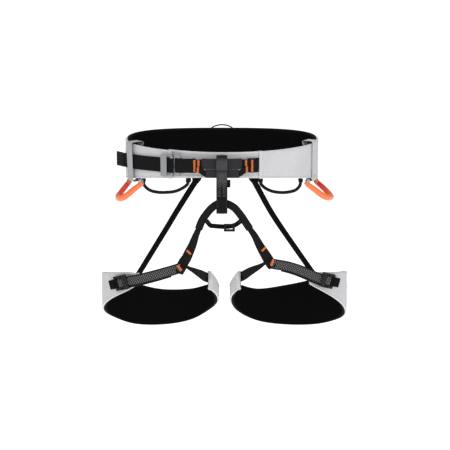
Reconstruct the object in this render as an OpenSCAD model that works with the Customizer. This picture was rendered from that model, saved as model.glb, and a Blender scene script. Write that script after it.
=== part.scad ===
// Sit harness for climbing: padded waist belt, belay loop, yoke, two leg loops.
// Millimetres. X to the wearer's left, Y to the back, Z up.
// The origin is the centre of the waist opening, half way up the belt.

/* [Waist belt] */
// Half of the belt's width, side to side, at its outer face
belt_a = 170; // [160:1:180]
// Half of the belt's depth, front to back, at its outer face
belt_b = 97; // [94:1:100]
// Height of the belt's top edge above the origin, at the hips
belt_rise = 36; // [35:0.5:37]
// Depth of the belt's bottom edge below the origin, at the hips
belt_drop = 36; // [35:0.5:37]
// Slope of the top edge, rising to the back
belt_top_slope = 0.0888; // [0.08:0.0004:0.1]
// How far the top edge curves down towards its front and its back
belt_top_sag = 3.4; // [2:0.2:4]
// Slope of the bottom edge, falling to the back
belt_bottom_slope = 0.155; // [0.15:0.005:0.16]

/* [Padding] */
// Thickness of the mesh lining
lining_t = 1.2; // [1:0.1:1.4]
// Thickness of the foam in the belt
belt_foam_t = 5.3; // [5:0.1:5.6]
// Thickness of the outer fabric
shell_t = 1.5; // [1.2:0.1:1.6]
// Thickness of the foam in a leg loop
leg_foam_t = 4.3; // [4:0.1:4.6]
// Height of the tape that binds an edge
binding_h = 3; // [2:0.5:4]
// How far the tape stands proud of the fabric
binding_proud = 0.3; // [0.2:0.1:0.5]
// Thickness of the front flap
flap_t = 4; // [3:0.5:4]

/* [Webbing] */
// Width of the waist strap
waist_strap_w = 25; // [23:0.5:25]
// Thickness of the waist strap
waist_strap_t = 1.8; // [1.6:0.1:1.8]
// Width of the tie-in webbing
tie_in_w = 25; // [23:1:25]
// Width of a leg strap
leg_strap_w = 18.6; // [17:0.2:18.6]
// Thickness of a leg strap
leg_strap_t = 1.6; // [1.4:0.1:1.6]
// Width of a riser
riser_w = 11; // [9:1:12]

/* [Belay loop] */
// Width of the belay loop
belay_w = 19; // [16:1:19]
// Thickness of the belay loop's webbing
belay_t = 3.5; // [3:0.1:3.5]
// Clear gap between its two strands
belay_gap = 13; // [13:0.5:13.5]

/* [Buckles] */
// Height of the waist buckle
waist_buckle_h = 37; // [36:0.5:38]
// Radius of the waist buckle's round bar
waist_pin_r = 2; // [1.8:0.1:2]
// Height of a leg buckle
leg_buckle_h = 26; // [26:0.5:27]
// Radius of a leg buckle's round bar
leg_pin_r = 1.6; // [1.5:0.1:1.6]
// Play of a round bar in its bores
pin_play = 0.06; // [0.04:0.01:0.08]

/* [Leg loops] */
// Half of a leg loop's width at its outer face
leg_a = 105; // [100:1:108]
// Half of a leg loop's depth at its outer face
leg_b = 76; // [73:1:77]
// Distance between the centres of the leg loops
leg_pitch = 229.4; // [228:0.2:236]

/* [Gear loops] */
// Thickness of a rear gear loop's cord
cord_d = 5.8; // [5:0.2:6]
// Thickness of a front gear loop at its middle
gear_loop_d = 10.5; // [9:0.5:11]

/* [Hidden] */

fabric_grey = [0.78, 0.78, 0.80];
mesh_black = [0.06, 0.05, 0.06];
web_black = [0.10, 0.10, 0.10];
web_grey = [0.28, 0.28, 0.29];
alloy = [0.66, 0.67, 0.69];
anodised = [0.12, 0.12, 0.13];
orange_thread = [0.95, 0.42, 0.12];
orange_plastic = [0.97, 0.42, 0.25];

// clearance between pieces that lie against each other
gap = 0.3;
// how far the round parts of the buckles are divided
$fn = 48;

// ---- vectors and curves ----
function unit(v) = v / norm(v);
function catmull(a, b, c, d, f) =
    0.5 * (2*b + (c - a)*f + (2*a - 5*b + 4*c - d)*f*f + (3*b - a - 3*c + d)*f*f*f);
// a smooth curve through the rows of p, with m steps from row to row
function smooth(p, m) = let (last = len(p) - 1) [
    for (i = [0:last - 1], k = [0:m - 1])
        catmull(p[max(i - 1, 0)], p[i], p[i + 1], p[min(i + 2, last)], k/m),
    p[last]];
function backwards(p) = [for (i = [len(p) - 1:-1:0]) p[i]];

// A route is a list of stations [point, outward face normal, [width, thickness, 0]].
function station(p, n, w, t) = [p, n, [w, t, 0]];
function resized(route, dw, dt) = [for (s = route) [s[0], s[1], s[2] + [dw, dt, 0]]];
function heading(route, i) =
    unit(route[min(i + 1, len(route) - 1)][0] - route[max(i - 1, 0)][0]);
// Cross-sections of a route: 4 sides is a flat strap, more is an oval cord.
// first and last turn the end sections to face a given way.
function rings(route, sides = 4, first = undef, last = undef) = [
    for (i = [0:len(route) - 1])
        let (s = route[i],
             t = i == 0 && first != undef ? first
               : i == len(route) - 1 && last != undef ? last : heading(route, i),
             n = unit(s[1] - (s[1]*t)*t), b = cross(t, n),
             w = s[2][0]/2, h = s[2][1]/2)
        sides == 4
            ? [s[0] + h*n - w*b, s[0] + h*n + w*b, s[0] - h*n + w*b, s[0] - h*n - w*b]
            : [for (k = [0:sides - 1]) s[0] + h*cos(360*k/sides)*n + w*sin(360*k/sides)*b]];

// ---- solids from cross-sections ----
function wall(n, i, j, k, flip) = // the two triangles between rings i and j at side k
    let (a = i*n + k, b = j*n + k, c = j*n + (k + 1) % n, d = i*n + (k + 1) % n)
    flip ? [[a, c, b], [a, d, c]] : [[a, b, c], [a, c, d]];
function flat_list(l) = [for (a = l) for (b = a) b];
module skin(r) {
    n = len(r[0]);
    m = len(r);
    polyhedron(points = flat_list(r), faces = [
        for (i = [0:m - 2], k = [0:n - 1]) for (f = wall(n, i, i + 1, k, false)) f,
        for (k = [1:n - 2]) [0, k, k + 1],
        for (k = [1:n - 2]) [(m - 1)*n, (m - 1)*n + k + 1, (m - 1)*n + k]]);
}
module closed_skin(r) {
    n = len(r[0]);
    m = len(r);
    polyhedron(points = flat_list(r), faces = [
        for (i = [0:m - 1], k = [0:n - 1]) for (f = wall(n, i, (i + 1) % m, k, false)) f]);
}
module sleeve(outer, inner) { // a hollow tube, open at both ends
    n = len(outer[0]);
    m = len(outer);
    q = n*m;
    e = (m - 1)*n;
    polyhedron(points = concat(flat_list(outer), flat_list(inner)), faces = [
        for (i = [0:m - 2], k = [0:n - 1]) for (f = wall(n, i, i + 1, k, false)) f,
        for (i = [0:m - 2], k = [0:n - 1]) for (f = wall(n, i, i + 1, k, true)) f + [q, q, q],
        for (k = [0:n - 1]) let (l = (k + 1) % n)
            for (f = [[k, l, q + l], [k, q + l, q + k],
                      [e + k, q + e + l, e + l], [e + k, q + e + k, q + e + l]]) f]);
}

// ---- the belt's surface ----
belt_t = lining_t + belt_foam_t + shell_t;
belt_round = 2.3;       // roundness of the oval at the hips
belt_round_swing = 0.3; // squarer at the back, rounder in front
function sgn_pow(v, e) = sign(v) * pow(abs(v), e);
function belt_xy(t) = let (e = 2/(belt_round + belt_round_swing*sin(t)))
    [belt_a*sgn_pow(cos(t), e), belt_b*sgn_pow(sin(t), e), 0];
function belt_along(t) = unit(belt_xy(t + 0.5) - belt_xy(t - 0.5));
function belt_out(t) = cross(belt_along(t), [0, 0, 1]);
function belt_top(y) = belt_rise + belt_top_slope*y - belt_top_sag*pow(y/belt_b, 2);
function belt_bottom(y) = -belt_drop - belt_bottom_slope*y;
// a point at angle t, standing off the outer face by out
function belt_pt(t, out, z) = belt_xy(t) + out*belt_out(t) + [0, 0, z];
// the belt angle whose front face has this x
function front_t(x) = 270 + asin(x/belt_a);
// a band of the belt from angle t0 to t1, between two depths and two insets
function belt_band(t0, t1, steps, out0, out1, top, bottom) = [
    for (i = [0:steps])
        let (t = t0 + (t1 - t0)*i/steps, y = belt_xy(t)[1],
             zt = top(y), zb = bottom(y))
        [belt_pt(t, out1, zt), belt_pt(t, out1, zb), belt_pt(t, out0, zb), belt_pt(t, out0, zt)]];
pad_from = front_t(64) - 360; // right front end of the C-shaped pad
pad_to = front_t(-86);        // left front end
pad_steps = 52;
module belt_layer(out0, out1) {
    skin(belt_band(pad_from, pad_to, pad_steps, out0, out1,
        function (y) belt_top(y) - binding_h - gap, function (y) belt_bottom(y) + binding_h + gap));
}
module waist_lining() { color(mesh_black) belt_layer(-belt_t, -belt_t + lining_t); }
module waist_foam() { color("dimgray") belt_layer(-belt_t + lining_t, -shell_t); }
module waist_shell() { color(fabric_grey) belt_layer(-shell_t, 0); }
module waist_binding_top() {
    color(fabric_grey) skin(belt_band(pad_from, pad_to, pad_steps, -belt_t - binding_proud,
        binding_proud, function (y) belt_top(y), function (y) belt_top(y) - binding_h));
}
module waist_binding_bottom() {
    color(fabric_grey) skin(belt_band(pad_from, pad_to, pad_steps, -belt_t - binding_proud,
        binding_proud, function (y) belt_bottom(y) + binding_h, function (y) belt_bottom(y)));
}

// The flap closes the front of the belt behind the webbing.
// Its left end slips inside the pad's left end.
flap_from = front_t(-94);
flap_to = front_t(64);
flap_depth_left = 8.8;
flap_depth_right = 3.6;
flap_steps = 12;
module front_flap() {
    color(fabric_grey) skin([for (i = [0:flap_steps])
        let (f = i/flap_steps, t = flap_from + (flap_to - flap_from)*f,
             d = flap_depth_left + (flap_depth_right - flap_depth_left)*min(1, f*1.15),
             y = belt_xy(t)[1], zt = belt_top(y) - 0.5, zb = belt_bottom(y) + 0.5)
        [belt_pt(t, -d, zt), belt_pt(t, -d, zb),
         belt_pt(t, -d - flap_t, zb), belt_pt(t, -d - flap_t, zt)]]);
}

// ---- buckles ----
// Both kinds share one form. In a buckle's own frame x runs to the sewn eye, y is inward
// and z is up the round bar. A buckle is [height, strap width, strap thickness, bar radius,
// bar stand-off, grip bar from, grip bar to, end of the eye bar, plate thickness].
waist_buckle = [waist_buckle_h, waist_strap_w, waist_strap_t, waist_pin_r, 5, 8, 19, 15, 2.5];
leg_buckle = [leg_buckle_h, leg_strap_w, leg_strap_t, leg_pin_r, 4.4, 7.5, 16.5, 13.5, 2.2];
eye_bar_w = 6;
// centre-line radius of the strap where it turns round the bar
function turn_r(k) = k[3] + gap + k[2]/2;
// stand-off of the strap's inner and outer runs
function inner_run(k) = k[4] - turn_r(k);
function outer_run(k) = inner_run(k) + k[2] + 0.4;
// the strap's way round the bar, as [distance from the bar, stand-off]
function bar_turn(k) = let (r = turn_r(k)) [
    [k[6], inner_run(k)], [4, inner_run(k)],
    for (a = [-90:30:90]) [-r*cos(a), k[4] + r*sin(a)],
    [4, k[4] + r*0.5], [7, outer_run(k) + 0.1], [k[6], outer_run(k)]];
// the sewn eye's way round the eye bar, as [distance towards the eye, stand-off]
function eye_turn(k, t) = let (r = k[8]/2 + gap + t/2) [
    [k[7] + 2, k[8]/2 + r],
    for (a = [90:30:270]) [k[7] - eye_bar_w + r*cos(a), k[8]/2 + r*sin(a)],
    [k[7] + 2, k[8]/2 - r]];
module buckle_frame(k) {
    inside = k[1]/2 + 0.4;
    ear_t = (k[0]/2 - inside)*0.5;
    ear_r = k[3] + 1.2;
    difference() {
        union() {
            translate([-ear_r, -k[8], -k[0]/2]) cube([k[7] + ear_r, k[8], k[0]]);
            for (s = [-1, 1]) translate([0, 0, s*(inside + ear_t/2)]) {
                translate([0, -k[4], 0]) cylinder(r = ear_r, h = ear_t, center = true);
                translate([-ear_r, -k[4], -ear_t/2]) cube([2*ear_r, k[4] - 0.1, ear_t]);
            }
        }
        translate([-ear_r - 1, -k[8] - 1, -inside])
            cube([k[7] - eye_bar_w + ear_r + 1, k[8] + 2, 2*inside]);
        translate([0, -k[4], 0]) cylinder(r = k[3] + pin_play, h = k[0] + 2, center = true);
    }
}
module buckle_latch(k) {
    inside = k[1]/2 + 0.4;
    arm_from = inside + (k[0]/2 - inside)*0.5 + gap;
    arm_t = k[0]/2 - arm_from;
    arm_r = k[4] - k[8] - gap;
    grip_low = outer_run(k) + k[2]/2 + 0.4;
    translate([0, -k[4], 0]) cylinder(r = k[3], h = k[0] - 0.2, center = true);
    for (s = [-1, 1]) {
        translate([0, -k[4], s*(arm_from + arm_t/2)]) cylinder(r = arm_r, h = arm_t, center = true);
        translate([-k[6], -k[4] - arm_r, s*(arm_from + arm_t/2) - arm_t/2])
            cube([k[6], 2*arm_r - 0.4, arm_t]);
    }
    translate([-k[6], -grip_low - 2.6, -k[0]/2]) cube([k[6] - k[5], 2.6, k[0]]);
}

// The waist buckle stands on the belt's front, turned with its surface.
waist_buckle_t = front_t(-84);
waist_buckle_yaw = -18;
waist_buckle_pos = belt_pt(waist_buckle_t, 0.6, 1);
waist_x = [cos(waist_buckle_yaw), sin(waist_buckle_yaw), 0];
waist_n = [sin(waist_buckle_yaw), -cos(waist_buckle_yaw), 0];
function waist_local(x, out, z) = waist_buckle_pos + x*waist_x + out*waist_n + [0, 0, z];
module at_waist_buckle() {
    translate(waist_buckle_pos) rotate([0, 0, waist_buckle_yaw]) children();
}
module waist_buckle_frame() { color(alloy) at_waist_buckle() buckle_frame(waist_buckle); }
module waist_buckle_latch() { color(alloy) at_waist_buckle() buckle_latch(waist_buckle); }

// The waist strap leaves a slot in the pad, turns round the bar, and its tail runs back
// over itself, under the keeper, to stand free past the hip.
strap_z = 1.4;
strap_stand_off = 1.3;
tail_stand_off = 3.6;
function strap_belt(x, out, z, facing) = let (t = front_t(x))
    station(belt_pt(t, out, z), facing*belt_out(t), waist_strap_w, waist_strap_t);
waist_turn = bar_turn(waist_buckle);
function turned_out(points, i) = // outward side of a strap whose run goes round the bar
    let (a = points[max(i - 1, 0)], b = points[min(i + 1, len(points) - 1)], d = unit(b - a))
    [d[1], -d[0]];
waist_strap_route = concat(
    [for (x = [-150:10:-110]) strap_belt(x, strap_stand_off, strap_z, 1)],
    [for (i = [0:len(waist_turn) - 1])
        let (p = waist_turn[i], n = turned_out(waist_turn, i))
        station(waist_local(-p[0], p[1], 0), -n[0]*waist_x + n[1]*waist_n,
            waist_strap_w, waist_strap_t)],
    [for (x = [-110:-10:-150]) strap_belt(x, tail_stand_off, strap_z, -1)],
    [for (q = [[-160, -32.5], [-170, -17.5], [-180, -3]])
        station([q[0] - 4.6, q[1] - 2, strap_z - 0.6], [0.83, 0.56, 0],
            waist_strap_w, waist_strap_t)]);
module waist_strap() { color(web_black) skin(rings(waist_strap_route)); }

// ---- tie-in points ----
tie_in_t = 2.4;
sleeve_wall = 0.9;
belay_y = -104;          // middle of the belay loop, front to back
function front_station(p, w, t) = station(p, [p[0]/300, -1, 0], w, t);
// main webbing: [x, y, z, width]
tie_in_plan = [[-60, -94.2, 1.2, tie_in_w], [-50, -96.4, 1.5, tie_in_w],
    [-42, -98.5, 3.2, tie_in_w - 1], [-37.5, -99.6, 5.6, 15.5], [-34, -100.4, 6, 14.6],
    [-25, -102.2, 6, 14.6], [-12, -103.6, 6, 14.6], [0, belay_y, 6, 14.6], [12, -103.6, 6, 14.6],
    [25, -102, 6, 14.6], [34, -100.1, 6, 14.6], [37.5, -99.2, 5.6, 15.5],
    [42, -97.7, 3.4, tie_in_w - 1], [50, -94.8, 1.9, tie_in_w], [58, -91.4, 1.8, tie_in_w],
    [63.2, -88.6, 1.7, tie_in_w]];
waist_eye = eye_turn(waist_buckle, tie_in_t);
tie_in_route = concat(
    [for (i = [len(waist_eye) - 1:-1:0])
        let (p = waist_eye[i], n = turned_out(backwards(waist_eye), len(waist_eye) - 1 - i))
        station(waist_local(p[0], p[1], 0), -n[0]*waist_x - n[1]*waist_n,
            tie_in_w, tie_in_t)],
    [for (q = tie_in_plan) front_station([q[0], q[1], q[2]], q[3], tie_in_t)]);
module tie_in_webbing() { color(web_black) skin(rings(tie_in_route)); }
sleeve_route = smooth([for (q = tie_in_plan) if (abs(q[0]) < 36)
    front_station([q[0], q[1], 6], 15.2 + 2*sleeve_wall, 3.7 + 2*sleeve_wall)], 2);
module tie_in_sleeve() {
    color(web_grey) sleeve(rings(sleeve_route),
        rings(resized(sleeve_route, -2*sleeve_wall + 0.2, -2*sleeve_wall)));
}
lower_plan = [[-44, -102.5, -3], [-36, -104.8, -6], [-28, -104.6, -11.6], [-20, -103.9, -12],
    [-8, -103.9, -12], [8, -103.9, -12], [21, -103.9, -12], [29, -104.6, -11.8], [37, -104.8, -6.4],
    [44, -102.5, -3]];
lower_route = smooth([for (q = lower_plan) front_station(q, 10, tie_in_t)], 2);
lower_sleeve_route = smooth([for (q = lower_plan) if (abs(q[0]) < 30)
    front_station(q, 11.2 + 2*sleeve_wall, 3.7 + 2*sleeve_wall)], 2);
module tie_in_lower_webbing() { color(web_black) skin(rings(lower_route)); }
module tie_in_lower_sleeve() {
    color(web_grey) sleeve(rings(lower_sleeve_route),
        rings(resized(lower_sleeve_route, -2*sleeve_wall, -2*sleeve_wall)));
}
// bar tacks: [x, y, turn about Z]
tack_t = 0.8;
module waist_bar_tacks() {
    color(orange_thread) for (q = [[-47.1, -99, -13], [-40.2, -100.9, -14],
                                   [41.5, -99.9, 18.5], [52.1, -95.9, 23]])
        translate([q[0], q[1], 0.6]) rotate([0, 0, q[2]])
            translate([-2, -tack_t, -9]) cube([4, tack_t, 20]);
}

// ---- belay loop ----
belay_top = 11;     // centre of the top bend
belay_low = -71;  // centre of the bottom bend
module stadium(r, w) {
    for (z = [belay_low, belay_top])
        translate([0, belay_y, z]) rotate([0, 90, 0]) cylinder(r = r, h = w, center = true, $fn = 64);
    translate([-w/2, belay_y - r, belay_low]) cube([w, 2*r, belay_top - belay_low]);
}
module belay_loop() {
    color(web_black) difference() {
        stadium(belay_gap/2 + belay_t, belay_w);
        stadium(belay_gap/2, belay_w + 2);
    }
}
// the sewn lap of the loop's end, low on its front strand
module belay_loop_lap() {
    lap_y = belay_y - belay_gap/2 - belay_t;
    color(web_black) translate([-belay_w/2 + 0.5, lap_y - 2 - 0.1, -50])
        cube([belay_w - 1, 2, 44]);
}

// ---- yoke: the lower tie-in loop and its two arms ----
junction_left = [-66.8, -82.5, -172];
junction_right = [78, -84, -162];
cut = 0.75; // half the gap between the yoke and a leg loop at a junction
yoke_t = 3.4;
yoke_plan = [ // [x, y, z, width of the webbing]
    [-66.8, -82.5, junction_left[2] + cut, 18.5], [-61.5, -84.5, -162.5, 17.5],
    [-57, -87, -152, 16.5], [-51, -90, -138.5, 14.5], [-46, -94, -123.5, 12], [-40, -97, -108.5, 10],
    [-34.5, -100, -94, 10], [-27.5, -102, -83, 10], [-18.5, -103.6, -72, 10], [-9, belay_y, -64.6, 10],
    [0, belay_y, -62.8, 10], [11, belay_y, -64.4, 10], [22.5, -103.6, -71.6, 10],
    [32.5, -102, -84, 10], [40, -100, -95.5, 10], [48, -97, -108.5, 10], [57.5, -94, -123, 12],
    [65, -90, -138.5, 14.5], [71.5, -87, -150, 16.5], [78, -84, junction_right[2] + cut, 18]];
yoke_normal = [0, -1, 0.2];
yoke_route = smooth([for (q = yoke_plan) station([q[0], q[1], q[2]], yoke_normal, q[3], yoke_t)], 2);
yoke_sleeve_route = smooth([for (q = yoke_plan) if (q[2] > -110)
    station([q[0], q[1], q[2]], yoke_normal, 13.4, 7.8)], 2);
module yoke_webbing() {
    color(web_black) skin(rings(yoke_route, first = [0, 0, 1], last = [0, 0, -1]));
}
module yoke_sleeve() {
    color(web_grey) sleeve(rings(yoke_sleeve_route), rings(resized(yoke_sleeve_route, -2.4, -3.4)));
}
// an orange tack on each arm: [x, y, z, lean]
// [x, y, z, lean in the arm's face, turn about Z]
module yoke_bar_tacks() {
    color(orange_thread) for (q = [[-57.6, -88.9, -152, 45, -9.2], [73, -90.1, -146, -45, 11.6]])
        translate([q[0], q[1], q[2]]) rotate([8.5, 0, q[4]]) rotate([0, q[3], 0])
            translate([-4.5, -tack_t, -2]) cube([9, tack_t, 4]);
}
cross_plan = [[-27, -107.6, -92], [-20, -107.6, -100.5], [-14, -107.4, -101.8], [8, -107.4, -103],
    [23, -107.6, -100], [33.5, -107.8, -92]];
module cross_strap() {
    color(web_black) skin(rings(smooth([for (q = cross_plan)
        station(q, yoke_normal, 8, 1.6)], 2)));
}
module cross_strap_hook() {
    color(anodised) translate([13, -111.4, -104]) difference() {
        cube([19, 4, 13], center = true);
        cube([11, 5, 6], center = true);
    }
}

// ---- keepers, tabs and gear loops ----
// an elastic band round the belt at angle t: out is its stand-off, w its width
function keeper_loop(t, out, w, band) =
    let (y = belt_xy(t)[1], r = 3, top = belt_top(y) + 3.6 - r, low = belt_bottom(y) - 3.6 + r,
         deep = -belt_t - 1.4 + r, far = out - r)
    [for (c = [[far, top, 0], [deep, top, 90], [deep, low, 180], [far, low, 270]], a = [0:45:90])
        let (u = [cos(c[2] + a), sin(c[2] + a)],
             outer = [c[0], c[1]] + (r + band)*u, inner = [c[0], c[1]] + r*u,
             side = belt_along(t)*w/2)
        [belt_pt(t, outer[0], outer[1]) - side, belt_pt(t, outer[0], outer[1]) + side,
         belt_pt(t, inner[0], inner[1]) + side, belt_pt(t, inner[0], inner[1]) - side]];
keeper_left_t = front_t(-154);
keeper_right_t = front_t(159) - 359;
module strap_keeper_left() { color(fabric_grey) closed_skin(keeper_loop(keeper_left_t, 6.4, 15, 1)); }
module strap_keeper_right() { color(fabric_grey) closed_skin(keeper_loop(keeper_right_t, 2.2, 17, 1)); }

// rear gear loops: a cord between two tabs under the belt's back edge
rear_left_plan = [[-142, 55, -51.5], [-140, 58, -60], [-131, 64, -69], [-117, 71, -74], [-101, 78, -75.5],
    [-85, 84, -74.5], [-72, 89, -69.5], [-64, 91.5, -63.5], [-61.5, 92, -57.8]];
rear_right_plan = [[142, 55, -51.5], [140.5, 58, -60], [133, 64, -69], [119, 71, -74],
    [106, 77, -75.5], [92, 83, -74.5], [80, 88, -70], [72.5, 91, -64], [70, 91.5, -57.8]];
// A hanging loop: its sections face across the plane that it hangs in.
function hanging(plan, d, d_end) = let (last = len(plan) - 1,
        chord = unit(plan[last] - plan[0]), side = unit(cross(chord, [0, 0, 1])))
    smooth([for (i = [0:last]) let (e = i == 0 || i == last ? d_end : d)
        station(plan[i], side, e, e)], 3);
module rear_gear_loop(plan) { color(web_black) skin(rings(hanging(plan, cord_d, cord_d), 8)); }
module gear_loop_rear_left() { rear_gear_loop(rear_left_plan); }
module gear_loop_rear_right() { rear_gear_loop(rear_right_plan); }

// front gear loops: a stiff moulded bow that leans out from the hip
front_left_plan = [[-141.7, -54, -37.5], [-148, -51.5, -43], [-158, -46.5, -51.5],
    [-168, -39.5, -61], [-177, -28, -67.5], [-183, -12, -70], [-185, 0, -70], [-183.5, 9, -67.5],
    [-177.5, 15.5, -60], [-170.5, 19, -51.5], [-166.5, 20.5, -46.5]];
front_right_plan = [[149.5, -49.5, -38.5], [156, -46.5, -44], [166, -43, -52], [175, -37.5, -59.5],
    [184, -28, -65.5], [191, -12, -69], [193.5, 0, -69.5], [191.5, 9, -67], [184.5, 15.5, -60],
    [175, 19.5, -51.5], [169, 21.5, -46.5]];
gear_loop_end_d = 8;
module front_gear_loop(plan) {
    color(orange_plastic) skin(rings(hanging(plan, gear_loop_d, gear_loop_end_d), 10));
}
module gear_loop_front_left() { front_gear_loop(front_left_plan); }
module gear_loop_front_right() { front_gear_loop(front_right_plan); }

// a tab from the belt's bottom edge down to just above the end of a gear loop
tab_size = [9, 5];
module tab(p, r) {
    top = belt_bottom(p[1] + 5) - 0.7;
    translate([p[0], p[1], (top + p[2] + r)/2]) rotate([0, 0, atan2(p[0]/belt_a, -p[1]/belt_b)])
        cube([tab_size[0], tab_size[1], top - p[2] - r], center = true);
}
module gear_loop_tabs() {
    color(fabric_grey) {
        for (plan = [rear_left_plan, rear_right_plan]) for (p = [plan[0], plan[len(plan) - 1]])
            tab(p, cord_d/2 + gap);
        for (plan = [front_left_plan, front_right_plan]) for (p = [plan[0], plan[len(plan) - 1]])
            tab(p, gear_loop_end_d/2 + 2*gap);
    }
}

// haul loop: a small webbing arc behind the belt's top edge
haul_plan = [[-22, 101, 30], [-21.2, 101, 36.5], [-16.5, 101, 41.5], [-9, 101, 44.5], [0, 101, 45.6],
    [9, 101, 44.5], [16.5, 101, 41.5], [21.2, 101, 36.5], [22, 101, 30]];
haul_w = 6;
module haul_loop() {
    color(web_black) skin(rings(smooth([for (q = haul_plan)
        station(q, [q[0]/10, 0, q[2] - 34], haul_w, 1.8)], 2), first = [0, 0, 1], last = [0, 0, -1]));
}

// ---- risers: elastic from the belt's back edge to the outer back of a leg loop ----
riser_plan_left = [[-46, 98.4, -54.5], [-81.8, 90.5, -110.7], [-104.5, 85, -148], [-161, 71, -239],
    [-169, 67.3, -252]];
riser_plan_right = [[57, 98, -54.5], [86.7, 91.5, -108.8], [112.4, 85, -148], [159.7, 73.5, -214.7],
    [176, 67.5, -237], [183.5, 64, -250]];
riser_t = 1.8;
riser_tab_h = 14;
function riser_route(plan) = smooth([for (q = plan)
    station(q, [q[0]/300, 1, 0], riser_w, riser_t)], 3);
module riser(plan) {
    color(web_black) skin(rings(riser_route(plan), first = [0, 0, -1], last = [0, 0, -1]));
}
module riser_left() { riser(riser_plan_left); }
module riser_right() { riser(riser_plan_right); }
module riser_tabs() {
    color(web_black) for (p = [riser_plan_left[0], riser_plan_right[0]])
        translate([p[0], p[1], p[2] + 0.4 + riser_tab_h/2]) rotate([0, 0, -p[0]/7])
            cube([15, 2, riser_tab_h], center = true);
}

// ---- leg loops: one form, mirrored, with edges of their own ----
leg_mid = 4.3; // the pair stands a little to the wearer's left
leg_x = leg_mid - leg_pitch/2;
leg_t = lining_t + leg_foam_t + shell_t;
// [angle from the inner side by the back, top edge, bottom edge]
leg_edges = [
    [[-30, -197, -230.5], [0, -231, -257.5], [30, -237, -284], [60, -252, -311], [90, -255, -322],
     [120, -241, -318], [150, -222, -298], [180, -207, -275], [210, -199, -249.5],
     [235, -194, -229], [250, -194.5, -214]],
    [[-30, -197, -230.5], [0, -230, -258], [30, -238, -289], [60, -252, -313], [90, -247, -322],
     [120, -233.5, -319], [150, -217, -304], [180, -205, -282], [210, -198.5, -253],
     [235, -194, -229], [250, -194.5, -214]]];
function leg_stations(s) = smooth(leg_edges[s < 0 ? 0 : 1], 4);
function leg_xy(a) = [leg_x + leg_a*cos(a), leg_b*sin(a), 0];
function leg_out(a) = unit([cos(a)/leg_a, sin(a)/leg_b, 0]);
function leg_pt(a, out, z) = leg_xy(a) + out*leg_out(a) + [0, 0, z];
function leg_band(side, out0, out1, inset) = [for (s = leg_stations(side))
    [leg_pt(s[0], out1, s[1] - inset), leg_pt(s[0], out1, s[2] + inset),
     leg_pt(s[0], out0, s[2] + inset), leg_pt(s[0], out0, s[1] - inset)]];
function leg_edge_band(side, which, h0, h1) = [for (s = leg_stations(side))
    let (z0 = s[which] + h0, z1 = s[which] + h1, o = binding_proud)
    [leg_pt(s[0], o, z1), leg_pt(s[0], o, z0),
     leg_pt(s[0], -leg_t - o, z0), leg_pt(s[0], -leg_t - o, z1)]];
leg_binding_h = 2.5;
module sided(s) {
    if (s < 0) children();
    else translate([2*leg_mid, 0, 0]) mirror([1, 0, 0]) children();
}
module leg_layer(s, out0, out1) { sided(s) skin(leg_band(s, out0, out1, leg_binding_h + gap)); }
module leg_lining(s) { color(mesh_black) leg_layer(s, -leg_t, -leg_t + lining_t); }
module leg_foam(s) { color("dimgray") leg_layer(s, -leg_t + lining_t, -shell_t); }
module leg_shell(s) { color(fabric_grey) leg_layer(s, -shell_t, 0); }
module leg_binding(s) {
    color(fabric_grey) sided(s) {
        skin(leg_edge_band(s, 1, -leg_binding_h, 0));
        skin(leg_edge_band(s, 2, 0, leg_binding_h));
    }
}

// leg buckle: stands on the outer front of the pad, tilted with the strap
leg_buckle_yaw = -29.8;
leg_buckle_pitch = 17;
leg_buckle_pos = [[-175.5, -59.6, -212.2], [184.1, -59.6, -208.2]];
leg_buckle_off = 2.8;
function leg_n(s) = [s*sin(-leg_buckle_yaw), -cos(leg_buckle_yaw), 0];
function leg_strap_dir(s) = [-s*cos(leg_buckle_pitch)*cos(leg_buckle_yaw),
    cos(leg_buckle_pitch)*sin(leg_buckle_yaw), sin(leg_buckle_pitch)];
function leg_local(s, x, out) = leg_buckle_pos[s < 0 ? 0 : 1]
    + x*leg_strap_dir(s) + (out + leg_buckle_off)*leg_n(s);
module at_leg_buckle(s) {
    translate(leg_local(s, 0, 0)) mirror([s < 0 ? 0 : 1, 0, 0])
        rotate([0, 0, leg_buckle_yaw]) rotate([0, -leg_buckle_pitch, 0]) mirror([1, 0, 0]) children();
}
module leg_buckle_frame(s) { color(anodised) at_leg_buckle(s) buckle_frame(leg_buckle); }
module leg_buckle_latch(s) { color(anodised) at_leg_buckle(s) buckle_latch(leg_buckle); }

// The leg strap runs from the junction to the buckle, turns round the bar and comes back
// behind itself, a little lower.
leg_strap_plan = [
    [[-80.3, -82, -184], [-94.5, -83, -188], [-110, -83.4, -192.4], [-126, -82.4, -197],
     [-140, -80, -201], [-152, -77.4, -204.6]],
    [[96.3, -82, -175.5], [108, -83, -177.2], [121, -83.4, -180.4], [134, -83, -184.8],
     [147, -81, -190.4], [159, -78.2, -196.6]]];
function leg_plan_station(p, s) = station(p, unit([s*max(0, abs(p[0] - leg_mid) - 96)/100, -1, 0]),
    leg_strap_w, leg_strap_t);
leg_turn = bar_turn(leg_buckle);
return_shift = leg_strap_t + 0.8;
return_drop = 2.5;
function leg_strap_route(s) =
    let (out_run = [for (p = leg_strap_plan[s < 0 ? 0 : 1]) leg_plan_station(p, s)],
         n = leg_n(s), d = leg_strap_dir(s), last = len(leg_turn) - 1)
    concat(out_run,
        [for (i = [last:-1:0])
            let (p = leg_turn[i], m = turned_out(leg_turn, i), f = i == 0 ? 1 : 0)
            station(leg_local(s, p[0], p[1]) - [0, 0, f*return_drop], -m[0]*d - m[1]*n,
                leg_strap_w, leg_strap_t)],
        [for (i = [len(out_run) - 1:-1:2]) let (q = out_run[i])
            [q[0] - return_shift*q[1] - [0, 0, return_drop], -q[1], q[2]]]);
module leg_strap(s) { color(web_grey) skin(rings(leg_strap_route(s), first = [s, 0, 0])); }

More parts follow.
